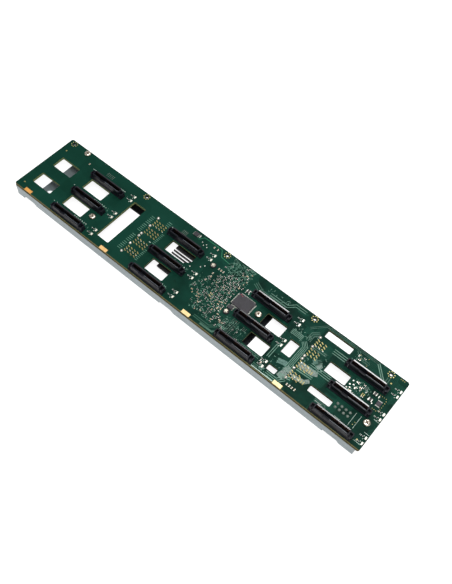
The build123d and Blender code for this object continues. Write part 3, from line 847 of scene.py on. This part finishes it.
def screw_head(place, turn, radius):
    """Pan head as a height over radius and angle: a flattened dome less a cross with sloping walls."""
    out = np.linspace(1, HEAD_INNERMOST, HEAD_RINGS)[:, None] ** HEAD_RING_SPREAD * radius
    x, y = out * circle(HEAD_SIDES).T[:, None]
    share = out / radius
    dome = SCREW_HEAD_HEIGHT * (1 - CROWN_DROP * share**2 - RIM_DROP * share**8) * np.ones_like(x)
    across, along = x * np.cos(turn) + y * np.sin(turn), -x * np.sin(turn) + y * np.cos(turn)
    arm = np.minimum(np.abs(across), np.abs(along))
    reach = np.maximum(np.abs(across), np.abs(along))
    wall = np.clip((RECESS_HALF_MOUTH - arm) / RECESS_SLOPE, 0, 1)
    wall *= np.clip((RECESS_ARM - reach) / RECESS_END, 0, 1)
    top = np.stack([x, y, dome - RECESS_DEPTH * wall], -1).reshape(-1, 3)
    foot = np.stack([x[0], y[0], np.zeros(HEAD_SIDES)], -1)
    points = np.concatenate([foot, top]) + np.array([*place, 0])
    faces = ring_faces(HEAD_RINGS + 1, HEAD_SIDES).tolist()
    faces += [list(range(HEAD_SIDES))[::-1], [HEAD_RINGS * HEAD_SIDES + k for k in range(HEAD_SIDES)]]
    sunk = np.concatenate([np.zeros(HEAD_SIDES), wall.ravel()])
    return points, [tuple(face) for face in faces], sunk


class BACKPLANE_OT_screws(bpy.types.Operator):
    """Replaces the plain screws by pan heads with a true cross recess and a turned shank."""
    bl_idname = "backplane.screws"
    bl_label = "Screws"

    def execute(self, context):
        radius = context.scene.backplane_sizes.screw_radius / MM
        heads = [screw_head(place, turn, radius) for place, turn in zip(SCREW_PLACES, SCREW_TURNS)]
        shank = [(SCREW_BODY_RADIUS * SHANK_TIP[0], -SCREW_BODY_LENGTH),
                 (SCREW_BODY_RADIUS, SHANK_TIP[1] - SCREW_BODY_LENGTH), (SCREW_BODY_RADIUS, SHANK_TOP)]
        shape = join_shapes([head[:2] for head in heads] + [turned(SCREW_PLACES, shank, SHANK_SIDES)])
        piece = make_piece("screw_set", shape, "screw", smooth=True)
        sunk = np.zeros(len(piece.data.vertices))
        told = np.concatenate([head[2] for head in heads])
        sunk[: len(told)] = told
        piece.data.attributes.new("recess", "FLOAT", "POINT").data.foreach_set("value", sunk)
        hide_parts("bracket_screws")
        return {"FINISHED"}


class BACKPLANE_OT_solder_joints(bpy.types.Operator):
    """Replaces the faceted joints by round domes with a pin tip, and keeps the pins below."""
    bl_idname = "backplane.solder_joints"
    bl_label = "Solder joints"

    def execute(self, context):
        height = context.scene.backplane_sizes.joint_height / MM
        shell = [(x, y) for x in SHELL_PIN_X for y in SHELL_PIN_Y]
        tall = [*TALL_FOOT, *((radius, height * share) for radius, share in TALL_DOME)]
        domes = turned(shell, tall, JOINT_SIDES[0])
        piece = make_piece("shell_joints", domes, "bright joint", smooth=True)
        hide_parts("signal_connector_pins")
        low = turned(grid(*POWER_PINS), LOW_JOINT, JOINT_SIDES[1])
        piece = make_piece("power_joints", low, "dull tin", smooth=True)
        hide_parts("power_connector_pins")
        return {"FINISHED"}


# Mounting holes along the far edge: a plated barrel in a near-black tone that paints the shade inside the
# hole, and a ring of small pads
MOUNT_HOLE_INSET = 3.8
MOUNT_HOLES = [(x, FAR_EDGE - MOUNT_HOLE_INSET) for x in (6.5, 113, 221, 327.5, 412.5)]
BARREL_OUTER = 1.74
BARREL_INNER = 1.63
BARREL_LOW = -2.98
BARREL_HIGH = 0.03
RING_RADIUS = 3.1
RING_PADS = 8
RING_PAD_RADIUS = 0.55
RING_PAD_SIDES = 12


class BACKPLANE_OT_mounting_holes(bpy.types.Operator):
    """Lines the mounting holes with a near-black barrel as painted shade and sets a ring of pads round each.
    """
    bl_idname = "backplane.mounting_holes"
    bl_label = "Mounting holes"

    def execute(self, context):
        height = context.scene.backplane_sizes.pad_height / MM
        ring = circle(RING_PADS, 0.5) * RING_RADIUS
        places = (np.array(MOUNT_HOLES)[:, None] + ring[None]).reshape(-1, 2)
        pads = dots(places, RING_PAD_RADIUS, height, RING_PAD_SIDES)
        make_piece("mounting_ring_pads", pads, "pale gold")
        barrel = tubes(MOUNT_HOLES, BARREL_OUTER, BARREL_INNER, BARREL_LOW, BARREL_HIGH)
        make_piece("mounting_hole_barrels", barrel, "barrel")
        return {"FINISHED"}


# Receptacles: a polished rim on the far wall and a painted highlight on the lip of the near one
RIM_WIDTH = 1.1
RIM_HEIGHT = 0.05
RIM_SUNK = 0.04
RIM_SHORTER = 9.6  # than the receptacle
FAR_WALL = 1.3
LIP_PLACE = 1.6
LIP_WIDTH = 0.4
LIP_DROP = 0.81
LIP_END_GAP = 0.9
KEY_END = 20.8
TOWER_LENGTH = 4.6


class BACKPLANE_OT_receptacle_rims(bpy.types.Operator):
    """Lays the polished top of the far wall and a painted highlight on the lip of the near wall on each
    receptacle.
    """
    bl_idname = "backplane.receptacle_rims"
    bl_label = "Receptacle rims"

    def execute(self, context):
        rims, lips = [], []
        for name in RECEPTACLES:
            low, high = mask_box("drive_receptacle_" + name)
            middle = ((low[0] + high[0]) / 2, high[1] - FAR_WALL / 2)
            size = (high[0] - low[0] - RIM_SHORTER, RIM_WIDTH, RIM_HEIGHT)
            rims.append(blocks([middle], size, high[2] - RIM_SUNK, FLAT_EDGE))
            y = low[1] + LIP_PLACE
            path = ((low[0] + KEY_END, y), (high[0] - TOWER_LENGTH - LIP_END_GAP, y))
            lips.append(ribbon(path, LIP_WIDTH, RIM_HEIGHT, high[2] - LIP_DROP))
        make_piece("receptacle_rims", join_shapes(rims), "polished rim")
        make_piece("receptacle_lip_highlights", join_shapes(lips), "painted edge highlight")
        return {"FINISHED"}


# Lights, their resistors, capacitors and coils
LIGHT_X = (105.2, 212.9, 320.6, 428.3)
LIGHT_Y = (6.1, 12.1)
LIGHTS = [(x, y + ROW_STEP * row) for x in LIGHT_X for row in range(3) for y in LIGHT_Y]
RESISTOR_SHIFT = 4
RESISTORS = [(x - RESISTOR_SHIFT, y) for x, y in LIGHTS]
CAPACITORS = (
    (39, 67.5), (206, 74.5), (210.3, 74.5), (347.5, 7), (350.3, 7), (353.1, 7), (355.9, 7),
    (225.4, 58.5), (228.2, 58.5), (231, 58.5), (224, 51), (225, 47), (223.5, 41),
)
COILS = ((412, 51), (411.5, 43.5), (262.7, 57.7))
# Parts with tinned ends: places, size, the axis along which they lie and the share of it under each cap
CAPPED = {
    "light": (LIGHTS, (1.6, 2.9, 0.9), 1, 0.22),
    "resistor": (RESISTORS, (1.9, 1.1, 0.5), 0, 0.17),
    "capacitor": (CAPACITORS, (1.2, 2, 0.9), 1, 0.28),
    "coil": (COILS, (3.5, 3, 1.5), 0, 0.2),
}


class BACKPLANE_OT_end_caps(bpy.types.Operator):
    """Puts tinned ends on the lights, resistors, capacitors and coils."""
    bl_idname = "backplane.end_caps"
    bl_label = "Tinned ends"

    def execute(self, context):
        for name, row in CAPPED.items():
            make_piece(name + "_end_caps", end_caps(*row), "tin")
        return {"FINISHED"}


# Chip leads: x range, y range, columns, rows, then size along x and y
LEADS = (
    ((257.4, 277.6), (38.4, 50.8), 2, 18, 1.3, 0.35),
    ((259.5, 275.5), (36.7, 52.5), 22, 2, 0.35, 1.3),
    ((179, 185), (73.3, 76.7), 2, 5, 0.9, 0.35),
    ((417.4, 421.2), (42.8, 48.2), 6, 2, 0.4, 1),
    ((257.5, 263.5), (32, 35.6), 2, 5, 0.9, 0.35),
)
LEAD_HEIGHT = 0.35
INK_DABS = ((260, 50.6), (261.9, 50))
DAB_SIZE = (1.1, 0.7, 0.03)
DAB_TURNS = (20, -15)
CHIP_HEIGHT = 1.4


class BACKPLANE_OT_chip_leads(bpy.types.Operator):
    """Sets the bent leads round the chips, and the inked dabs on the control chip."""
    bl_idname = "backplane.chip_leads"
    bl_label = "Chip leads"

    def execute(self, context):
        rows = [
            blocks(grid(*area), (long, wide, LEAD_HEIGHT), edge=LEAD_EDGE) for *area, long, wide in LEADS
        ]
        make_piece("chip_leads", join_shapes(rows), "tin")
        dabs = blocks(INK_DABS, DAB_SIZE, CHIP_HEIGHT, THIN_EDGE, DAB_TURNS)
        make_piece("chip_ink_dabs", dabs, "red ink")
        return {"FINISHED"}


# Fields of slanted pads left of the second and fourth column
FIELD_X = (142, 146, 150, 154)
FIELD_Y = ((14, 21), (26.2, 33.6), (42, 49.6), (54, 61.2))
FIELD_SHIFT = 201.7
SLANT = 28.0
FIELD_INSET = (0.8, 0.6)
PADS_IN_FIELD = 3
PART_EVERY = 4
FIELD_PAD = (2.8, 0.85)
# Upright pads where the last column of the second field would be: x range, y range, columns and rows
UPRIGHT_PADS = ((353.3, 357.9), (17.5, 30), 3, 2)
UPRIGHT_PAD = (0.7, 3.6)
# On every fourth pad a tiny capacitor, and beside the next one a joint
FIELD_PART = (1.2, 0.8, 0.35)
FIELD_JOINT = (0.8, 0.8, 0.3)
FIELD_JOINT_SHIFT = (1.1, -0.6)
FIELD_PART_EDGE = 0.06
# Hatches: bar width and height, bars in one, and their ranges of x and y
HATCH_BAR = (0.55, 0.05)
HATCH_BARS = 5
HATCH_X = (133.6, 138)
HATCH_Y = ((13, 22), (25, 34), (41, 50), (53, 62))
SIDE_HATCHES = (
    ((156.2, 159.2), (13.5, 27.8), 8), ((156.2, 159.2), (38.4, 52.2), 8), ((151.4, 155.8), (63.2, 67.8), 3),
)


def slanted_field(columns):
    """Columns of slanted pads, a few to a field."""
    return np.array([
        (x, y) for x in columns for low, high in FIELD_Y
        for y in np.linspace(low + FIELD_INSET[0], high - FIELD_INSET[1], PADS_IN_FIELD)
    ])


def hatch(x, y, count):
    """Evenly spaced thin bars over a rectangle."""
    return blocks(grid((sum(x) / 2,) * 2, y, 1, count), (x[1] - x[0], *HATCH_BAR), edge=FLAT_EDGE)


class BACKPLANE_OT_pad_fields(bpy.types.Operator):
    """Lays the fields of slanted gold pads, their tiny capacitors and the pale hatches beside them."""
    bl_idname = "backplane.pad_fields"
    bl_label = "Pad fields"

    def execute(self, context):
        height = context.scene.backplane_sizes.pad_height / MM
        beyond = [x + FIELD_SHIFT for x in FIELD_X[:-1]]
        places = np.concatenate([slanted_field(FIELD_X), slanted_field(beyond)])
        pads = join_shapes([
            blocks(places, (*FIELD_PAD, height), edge=FLAT_EDGE, turn=-SLANT),
            blocks(grid(*UPRIGHT_PADS), (*UPRIGHT_PAD, height), edge=FLAT_EDGE),
        ])
        make_piece("coupling_pads", pads, "pad gold")
        parts = blocks(places[::PART_EVERY], FIELD_PART, edge=FIELD_PART_EDGE, turn=-SLANT)
        make_piece("coupling_capacitors", parts, "capacitor")
        beside = shifted(places[1::PART_EVERY], *FIELD_JOINT_SHIFT)
        ends = blocks(beside, FIELD_JOINT, edge=FIELD_PART_EDGE, turn=-SLANT)
        make_piece("coupling_pad_joints", ends, "tin")
        hatches = [hatch(HATCH_X, y, HATCH_BARS) for y in HATCH_Y]
        hatches += [hatch(x, y, count) for x, y, count in SIDE_HATCHES]
        make_piece("hatched_copper", join_shapes(hatches), "pale trace")
        return {"FINISHED"}


# The busy middle: tiny parts and vias round the expander
BUSY_AREAS = (
    # low x, high x, low y, high y, tiny parts, vias, pale strokes, dark strokes
    (230, 257, 25, 58, 88, 110, 120, 110),
    (229, 257, 58, 72, 14, 60, 110, 60),
    (226, 262, 9, 26, 34, 60, 50, 40),
    (230, 256, 72, 79, 3, 40, 60, 20),
    (216, 230, 22, 46, 12, 30, 30, 16),
    (262, 290, 9, 27, 8, 60, 24, 10),
    (282, 322, 4, 12, 4, 30, 16, 0),
    (388, 408, 36, 54, 10, 50, 26, 16),
    (376, 392, 64, 74, 3, 20, 8, 0),
    (76, 97, 8.2, 12, 0, 0, 16, 2),
    (76, 97, 35.8, 39.2, 0, 0, 16, 2),
    (184, 201, 8, 11.6, 0, 0, 12, 4),
    (184, 204, 35.6, 39.6, 0, 0, 14, 4),
    (318, 343, 36, 62, 0, 16, 22, 10),
    (320, 342, 3, 26, 0, 10, 26, 6),
    (343, 364, 34, 52, 0, 14, 30, 10),
    (268, 300, 62.5, 77, 0, 8, 16, 12),
)
KEEP_CLEAR = (
    # low x, high x, low y, high y
    (256, 279, 35.6, 53.6), (256.5, 265.5, 29, 37), (260, 266, 55, 60.5), (215.5, 221.5, 55, 61),
    (257, 263.6, 24.4, 30.8), (266, 313, 0, 8.2), (266, 313, 27, 35.6), (222, 233.5, 56, 61),
    (386, 409, 10, 36), (370, 424, 54.8, 62.8),
    # the windows
    (108.3, 124, 9.4, 63.5), (169.5, 200, 41.1, 54.6), (169.5, 193, 12.1, 26.5), (291, 314, 39.1, 52.6),
    (291, 314, 13.1, 27.1), (323.3, 333.5, 29.1, 45.6), (323.5, 333.3, 7.1, 13.3), (344.5, 372.7, 67.7, 76.2),
    (364, 388, 39.6, 51.4), (364, 388, 14.5, 21.5), (55, 81.5, 41.1, 55.4), (55, 81.5, 13.1, 27.5),
)
CLEAR_MARGIN = 1.3
TINY_SIZE = (2.0, 1.15, 0.6)
VIA_RADIUS = 0.26
PART_GRID = 0.75  # the step to which places are rounded
PART_GROUP = 6.5  # side of the squares in which tiny parts lie the same way
PARTS_APART = 2.9
VIAS_APART = 0.9
TRIES = 12  # random places tried for each one that is wanted
STROKE_LENGTHS = (0.9, 2.4)
# Strokes: finish, column of the table above, width and share of a trace's height
STROKES = {
    "pale_strokes": ("pale trace", 6, 0.45, 1),
    "dark_strokes": ("dark pour", 7, 0.8, 0.8),
}
# Tiny parts: range of their growth, the body's and the caps' shares of the size, how far out the caps sit
TINY_GROW = (0.7, 1.1)
TINY_BODY = (0.62, 1, 1)
TINY_CAP = (0.2, 1.04, 1.04)
TINY_REACH = 0.48
TINY_EDGE = 0.08
TAN_SHARE = 0.22


def in_the_clear(places):
    """Which places lie off every box that is kept clear, with a margin."""
    boxes = np.array(KEEP_CLEAR)[None]
    x, y = places[:, :1], places[:, 1:]
    inside = (x > boxes[..., 0] - CLEAR_MARGIN) & (x < boxes[..., 1] + CLEAR_MARGIN)
    inside &= (y > boxes[..., 2] - CLEAR_MARGIN) & (y < boxes[..., 3] + CLEAR_MARGIN)
    return ~inside.any(1)


def scatter(chance, area, count, apart, taken):
    """Random places in an area that keep a distance from one another and off what is kept clear."""
    low_x, high_x, low_y, high_y = area
    tries = chance.uniform((low_x, low_y), (high_x, high_y), (count * TRIES, 2))
    tries = np.round(tries / PART_GRID) * PART_GRID
    found = []
    for x, y in tries[in_the_clear(tries)]:
        if any(abs(x - u) + abs(y - v) < apart for u, v in found + taken):
            continue
        found.append((x, y))
        if len(found) == count:
            break
    return found


def strokes(chance, column, width, height):
    """Short strips at random places in each busy area, as many as one column says, turned by eighths."""
    found = [chance.uniform(row[0:4:2], row[1:4:2], (row[column], 2)) for row in BUSY_AREAS]
    places = np.concatenate(found)
    places = places[in_the_clear(places)]
    size = np.tile([0, width, height], (len(places), 1))
    size[:, 0] = chance.uniform(*STROKE_LENGTHS, len(places))
    return blocks(places, size, edge=THIN_EDGE, turn=chance.integers(0, 4, len(places)) * 45.0)


class BACKPLANE_OT_busy_middle(bpy.types.Operator):
    """Scatters tiny parts, tented vias and short strokes of copper where the board is crowded."""
    bl_idname = "backplane.busy_middle"
    bl_label = "Tiny parts and vias"

    def execute(self, context):
        sizes = context.scene.backplane_sizes
        chance = np.random.default_rng(sizes.seed)
        parts, vias = [], []
        for *area, part_count, via_count, _, _ in BUSY_AREAS:
            parts += scatter(chance, area, part_count, PARTS_APART, parts)
            vias += scatter(chance, area, via_count, VIAS_APART, vias)
        for name, (finish, column, width, share) in STROKES.items():
            shape = strokes(chance, column, width, sizes.trace_height / MM * share)
            make_piece(name, shape, finish)
        parts = np.array(parts)
        turn = np.floor(parts / PART_GROUP).sum(1) % 2 * 90.0
        grow = chance.uniform(*TINY_GROW, (len(parts), 1))
        body, cap = (np.array(TINY_SIZE) * grow * shares for shares in (TINY_BODY, TINY_CAP))
        way = np.stack([np.cos(np.radians(turn)), np.sin(np.radians(turn))], -1)
        reach = way * (body[:, :1] + cap[:, :1]) * TINY_REACH
        tan = chance.random(len(parts)) < TAN_SHARE
        for name, finish, slot, some in (
            ("tiny_capacitors", "capacitor", "part_ceramic", tan),
            ("tiny_resistors", "resistor", "chip_plastic", ~tan),
        ):
            make_piece(name, blocks(parts[some], body[some], edge=TINY_EDGE, turn=turn[some]), finish)
        ends = np.concatenate([parts - reach, parts + reach])
        shape = blocks(ends, np.tile(cap, (2, 1)), edge=TINY_EDGE, turn=np.tile(turn, 2))
        make_piece("tiny_part_ends", shape, "bright joint")
        make_piece("tented_vias", dots(vias, VIA_RADIUS, sizes.pad_height / MM), "pale trace")
        return {"FINISHED"}


# Bare dots: a radius with its middles
GOLD_DOTS = (
    (0.9, ((7, 64.5), (6.5, 7), (423, 6.5), (417, 69))),
    (0.4, ((421.5, 78.4), (423.5, 78.4), (425.5, 78.4), (381, 74.5), (389, 75.5), (383, 71),
           (383, 68.5), (391, 68.5), (413, 18), (412.5, 15), (416, 53.5), (418, 53.5),
           (420, 53.5), (422, 53.5), (423.2, 51.5), (423.2, 49), (423.2, 46.5), (423.2, 44),
           (423.2, 41.5), (423, 39.4), (421, 38.5), (419, 38.5), (417, 38.5))),
)
WHITE_DOTS = (
    (192.5, 72), (197.5, 72), (195.5, 69.8), (200, 69.8), (251.5, 24.5), (251.5, 21.5), (254.5, 23.5),
)
# Fields of dots: x range, y range, columns, rows and radius
VIA_FIELDS = (
    ((62.5, 70.5), (69.3, 72.6), 5, 3, 0.45), ((169.5, 174.5), (67.4, 70.6), 4, 3, 0.45),
    ((271, 277), (8.5, 26.5), 4, 13, 0.32), ((264.5, 268.5), (14.5, 21.5), 3, 5, 0.32),
    ((281, 281), (13.5, 20.5), 1, 5, 0.32), ((283.5, 286.5), (22.5, 25.5), 3, 3, 0.32),
    ((401.5, 404.5), (49, 51.6), 4, 3, 0.35), ((344, 348), (14.5, 20.5), 3, 4, 0.45),
    ((235, 242), (12, 19), 3, 3, 0.55), ((247.2, 248.8), (11.4, 18.6), 2, 6, 0.35),
)
# Bars: middle x and y, and size along x and y
GOLD_BARS = (
    (403.2, 41.9, 0.8, 1), (403.2, 43.2, 0.8, 1), (403.2, 44.6, 0.8, 1), (404.9, 41.9, 0.8, 1),
    (404.9, 43.2, 0.8, 1), (404.9, 44.6, 0.8, 1), (237, 30.8, 1, 1.4), (238.6, 32.8, 1, 1.4),
    (236.4, 33.6, 1.2, 0.9),
)
TIN_BARS = (
    (186.6, 75.5, 0.9, 3.2), (414.2, 42, 1.2, 1), (409.6, 43.5, 0.9, 2.6), (416, 51, 0.9, 2.4),
    (388.6, 40, 1.4, 1), (391, 41.6, 1.6, 1), (393.6, 39.4, 1.4, 1.2), (389.4, 44.4, 1.2, 1.4),
    (392.4, 46, 1.8, 1), (395, 44, 1.2, 1.8), (390, 49.2, 1.4, 1.2), (393.8, 50.2, 2, 1),
    (202, 42.6, 1.2, 1), (199, 37.6, 1.2, 1), (212.6, 52.4, 1, 1), (210.2, 48.8, 1, 1),
    (260.9, 55.8, 0.9, 0.7), (264.5, 55.8, 0.9, 0.7), (260.9, 59.6, 0.9, 0.7), (264.5, 59.6, 0.9, 0.7),
)
TIN_BAR_HEIGHT = 0.25
WHITE_DOT = (0.6, 0.2)  # radius and height


class BACKPLANE_OT_bare_metal(bpy.types.Operator):
    """Lays the bare dots, bars and via fields."""
    bl_idname = "backplane.bare_metal"
    bl_label = "Dots and bars"

    def execute(self, context):
        height = context.scene.backplane_sizes.pad_height / MM
        gold = [dots(places, radius, height, ROUND_SIDES) for radius, places in GOLD_DOTS]
        make_piece("gold_dots", join_shapes([*gold, bars(GOLD_BARS, height)]), "pad gold")
        tin = [bars(TIN_BARS, TIN_BAR_HEIGHT, LEAD_EDGE), dots(WHITE_DOTS, *WHITE_DOT, ROUND_SIDES)]
        make_piece("tin_pads", join_shapes(tin), "tin")
        fields = [dots(grid(*area), radius, height) for *area, radius in VIA_FIELDS]
        make_piece("via_fields", join_shapes(fields), "dull tin")
        return {"FINISHED"}


# Copper under the mask: path, count of lines, step and width
BRIGHT_TRACES = (
    (((187, 72), (191, 77.5), (213, 78), (218, 71), (228, 70)), 1, 1, 0.6),
)
# partly painted sheen: copper under the mask, made pale where the lamp's glare falls on the right of the
# board
PALE_TRACES = (
    (((280, 70), (300, 70), (306, 76), (318, 76)), 2, 2.4, 0.5),
    (((250, 2.2), (264, 2.6), (267, 6.6)), 2, 0.9, 0.5),
    (((263, 12.5), (272, 12.5)), 2, 1.4, 0.6),
    (((318.5, 52.8), (331, 52.8)), 4, 1.45, 0.6),
    (((318, 17), (318, 35)), 2, 2, 0.6),
    (((338.2, 16), (338.2, 47), (334, 51)), 4, 1.45, 0.5),
    (((398, 78), (410, 66)), 2, 1.8, 0.8),
    (((360, 61), (374, 61)), 3, 2.3, 0.6),
    (((352, 36), (374, 36)), 3, 2.1, 0.6),
    (((326, 3.6), (338, 3.6), (343, 10)), 3, 2, 0.7),
    (((336, 10), (347, 13)), 2, 2, 0.9),
    (((345, 25), (361, 26)), 2, 2, 0.9),
)
TRACES = (
    (((262, 70.5), (272, 66), (300, 66)), 3, 2, 0.8),
    (((292, 10.6), (313, 10.6)), 2, 1.8, 0.8),
    (((240, 5), (258, 5), (264, 10.6)), 2, 2, 0.8),
    (((336, 54), (336, 62), (341, 66.4)), 3, 2, 0.8),
    (((377, 76.6), (383, 71), (392, 71)), 2, 2, 0.6),
    (((374, 12), (384, 12), (388, 8)), 2, 1.9, 0.6),
    (((413, 64.5), (413, 72)), 2, 2, 0.6),
    (((296, 3.2), (318, 3.2)), 2, 1.8, 0.8),
    (((345, 52.5), (358, 52.5)), 2, 2, 0.8),
    (((330, 66), (341, 77.8), (398, 77.8)), 2, 1.5, 0.4),
    (((354, 39), (358.5, 45)), 4, 1.5, 0.6),
)
# Fields of copper: path and width, laid one over another in this order; the pale and light fields are partly
# painted sheen
POURS = {
    "pale": ((((327, 20.6), (336, 22.6)), 5), (((318.5, 5), (322.5, 5)), 5), (((352, 40), (355, 43)), 4)),
    "light": (
        (((343.5, 30.5), (358.5, 31), (362.5, 33)), 6), (((337.6, 8), (340.6, 22)), 6.5),
        (((346, 16.4), (357.5, 18.5), (361, 22.5)), 4), (((358, 37.5), (361, 42)), 4.5),
    ),
    "dark": (
        (((268, 4.5), (290, 4.5)), 6), (((300, 37.2), (322, 37.2)), 3), (((405, 30), (428, 36)), 5),
        (((292, 76), (330, 78.5)), 2), (((200, 20), (214, 12)), 6), (((340, 4), (372, 4)), 3),
    ),
}
POUR_SHARE = 0.5  # a field's height over a trace's


class BACKPLANE_OT_traces(bpy.types.Operator):
    """Lays the copper that shows through the mask, as bundles of flat strips; the pale strips and the pale
    and light fields are lightened as painted sheen.
    """
    bl_idname = "backplane.traces"
    bl_label = "Traces"

    def execute(self, context):
        height = context.scene.backplane_sizes.trace_height / MM
        for name, finish, runs in (
            ("bright_traces", "bright trace", BRIGHT_TRACES),
            ("pale_traces", "pale trace", PALE_TRACES),
            ("green_traces", "trace", TRACES),
        ):
            shapes = [bundle(path, count, step, width, height) for path, count, step, width in runs]
            make_piece(name, join_shapes(shapes), finish)
        for tone, runs in POURS.items():
            pours = [ribbon(path, width, height * POUR_SHARE) for path, width in runs]
            make_piece(tone + "_pours", join_shapes(pours), tone + " pour")
        return {"FINISHED"}


# White print: short plain bars, as middle x and y and size along x and y
PRINT_BARS = (
    (161, 65.5, 6, 0.5), (171.5, 65.5, 7, 0.5), (189, 64.5, 2, 0.5), (196.5, 65, 3, 0.5), (49, 66, 6, 0.4),
    (85, 66, 14, 0.4), (409.5, 19, 0.3, 14), (414.5, 19, 0.3, 14), (426.5, 16, 5, 0.4),
    (424.5, 4.5, 7, 0.35), (427, 31, 6, 0.35), (378.5, 11.5, 7, 0.35), (399, 11, 6, 0.35),
    (324, 0.9, 24, 0.8), (299, 36.8, 20, 0.35), (154, 37.5, 2.2, 0.6),
)
# Marks round each light, as shifts from it
LIGHT_MARKS = ((-2.3, 1.2), (-5.9, 0.2), (-1.9, -1.7))
LIGHT_MARK = (0.5, 1.1)
# Short marks beside the far side of the first receptacle of a column: range of x, y and count
MARK_ROWS = (((76, 92), 11, 7), ((183, 196), 10.2, 5), ((47, 51), 10.6, 2))
ROW_MARK = (1.1, 0.6)


class BACKPLANE_OT_print(bpy.types.Operator):
    """Lays the plain bars of white print."""
    bl_idname = "backplane.print"
    bl_label = "White print"

    def execute(self, context):
        height = context.scene.backplane_sizes.pad_height / MM
        marks = [
            grid(x, (y + row * ROW_STEP,) * 2, count, 1) for x, y, count in MARK_ROWS for row in range(3)
        ]
        around = [shifted(LIGHTS, *shift) for shift in LIGHT_MARKS]
        print_shape = join_shapes([
            bars(PRINT_BARS, height),
            blocks(np.concatenate(marks), (*ROW_MARK, height), edge=FLAT_EDGE),
            blocks(np.concatenate(around), (*LIGHT_MARK, height), edge=FLAT_EDGE),
        ])
        make_piece("printed_bars", print_shape, "print")
        return {"FINISHED"}


class BACKPLANE_PT_panel(bpy.types.Panel):
    """Lists the pieces that can be made."""
    bl_idname = "BACKPLANE_PT_panel"
    bl_label = "Backplane"
    bl_space_type = "VIEW_3D"
    bl_region_type = "UI"
    bl_category = "Backplane"

    def draw(self, context):
        scene = context.scene
        for group in (scene.backplane_sizes, scene.backplane_colours):
            for key in group.bl_rna.properties.keys():
                if key not in ("rna_type", "name"):
                    self.layout.prop(group, key)
        for operator in OPERATORS:
            self.layout.operator(operator.bl_idname)


OPERATORS = (
    BACKPLANE_OT_stage,
    BACKPLANE_OT_finishes,
    BACKPLANE_OT_screws,
    BACKPLANE_OT_solder_joints,
    BACKPLANE_OT_mounting_holes,
    BACKPLANE_OT_receptacle_rims,
    BACKPLANE_OT_end_caps,
    BACKPLANE_OT_chip_leads,
    BACKPLANE_OT_pad_fields,
    BACKPLANE_OT_busy_middle,
    BACKPLANE_OT_bare_metal,
    BACKPLANE_OT_traces,
    BACKPLANE_OT_print,
)
CLASSES = (BackplaneSizes, BackplaneColours, *OPERATORS, BACKPLANE_PT_panel)


def register():
    for item in CLASSES:
        bpy.utils.register_class(item)
    bpy.types.Scene.backplane_sizes = bpy.props.PointerProperty(type=BackplaneSizes)
    bpy.types.Scene.backplane_colours = bpy.props.PointerProperty(type=BackplaneColours)


def unregister():
    del bpy.types.Scene.backplane_sizes
    del bpy.types.Scene.backplane_colours
    for item in reversed(CLASSES):
        bpy.utils.unregister_class(item)


def main():
    register()
    for operator in OPERATORS:
        group, name = operator.bl_idname.split(".")
        getattr(getattr(bpy.ops, group), name)()


if __name__ == "__main__":
    main()
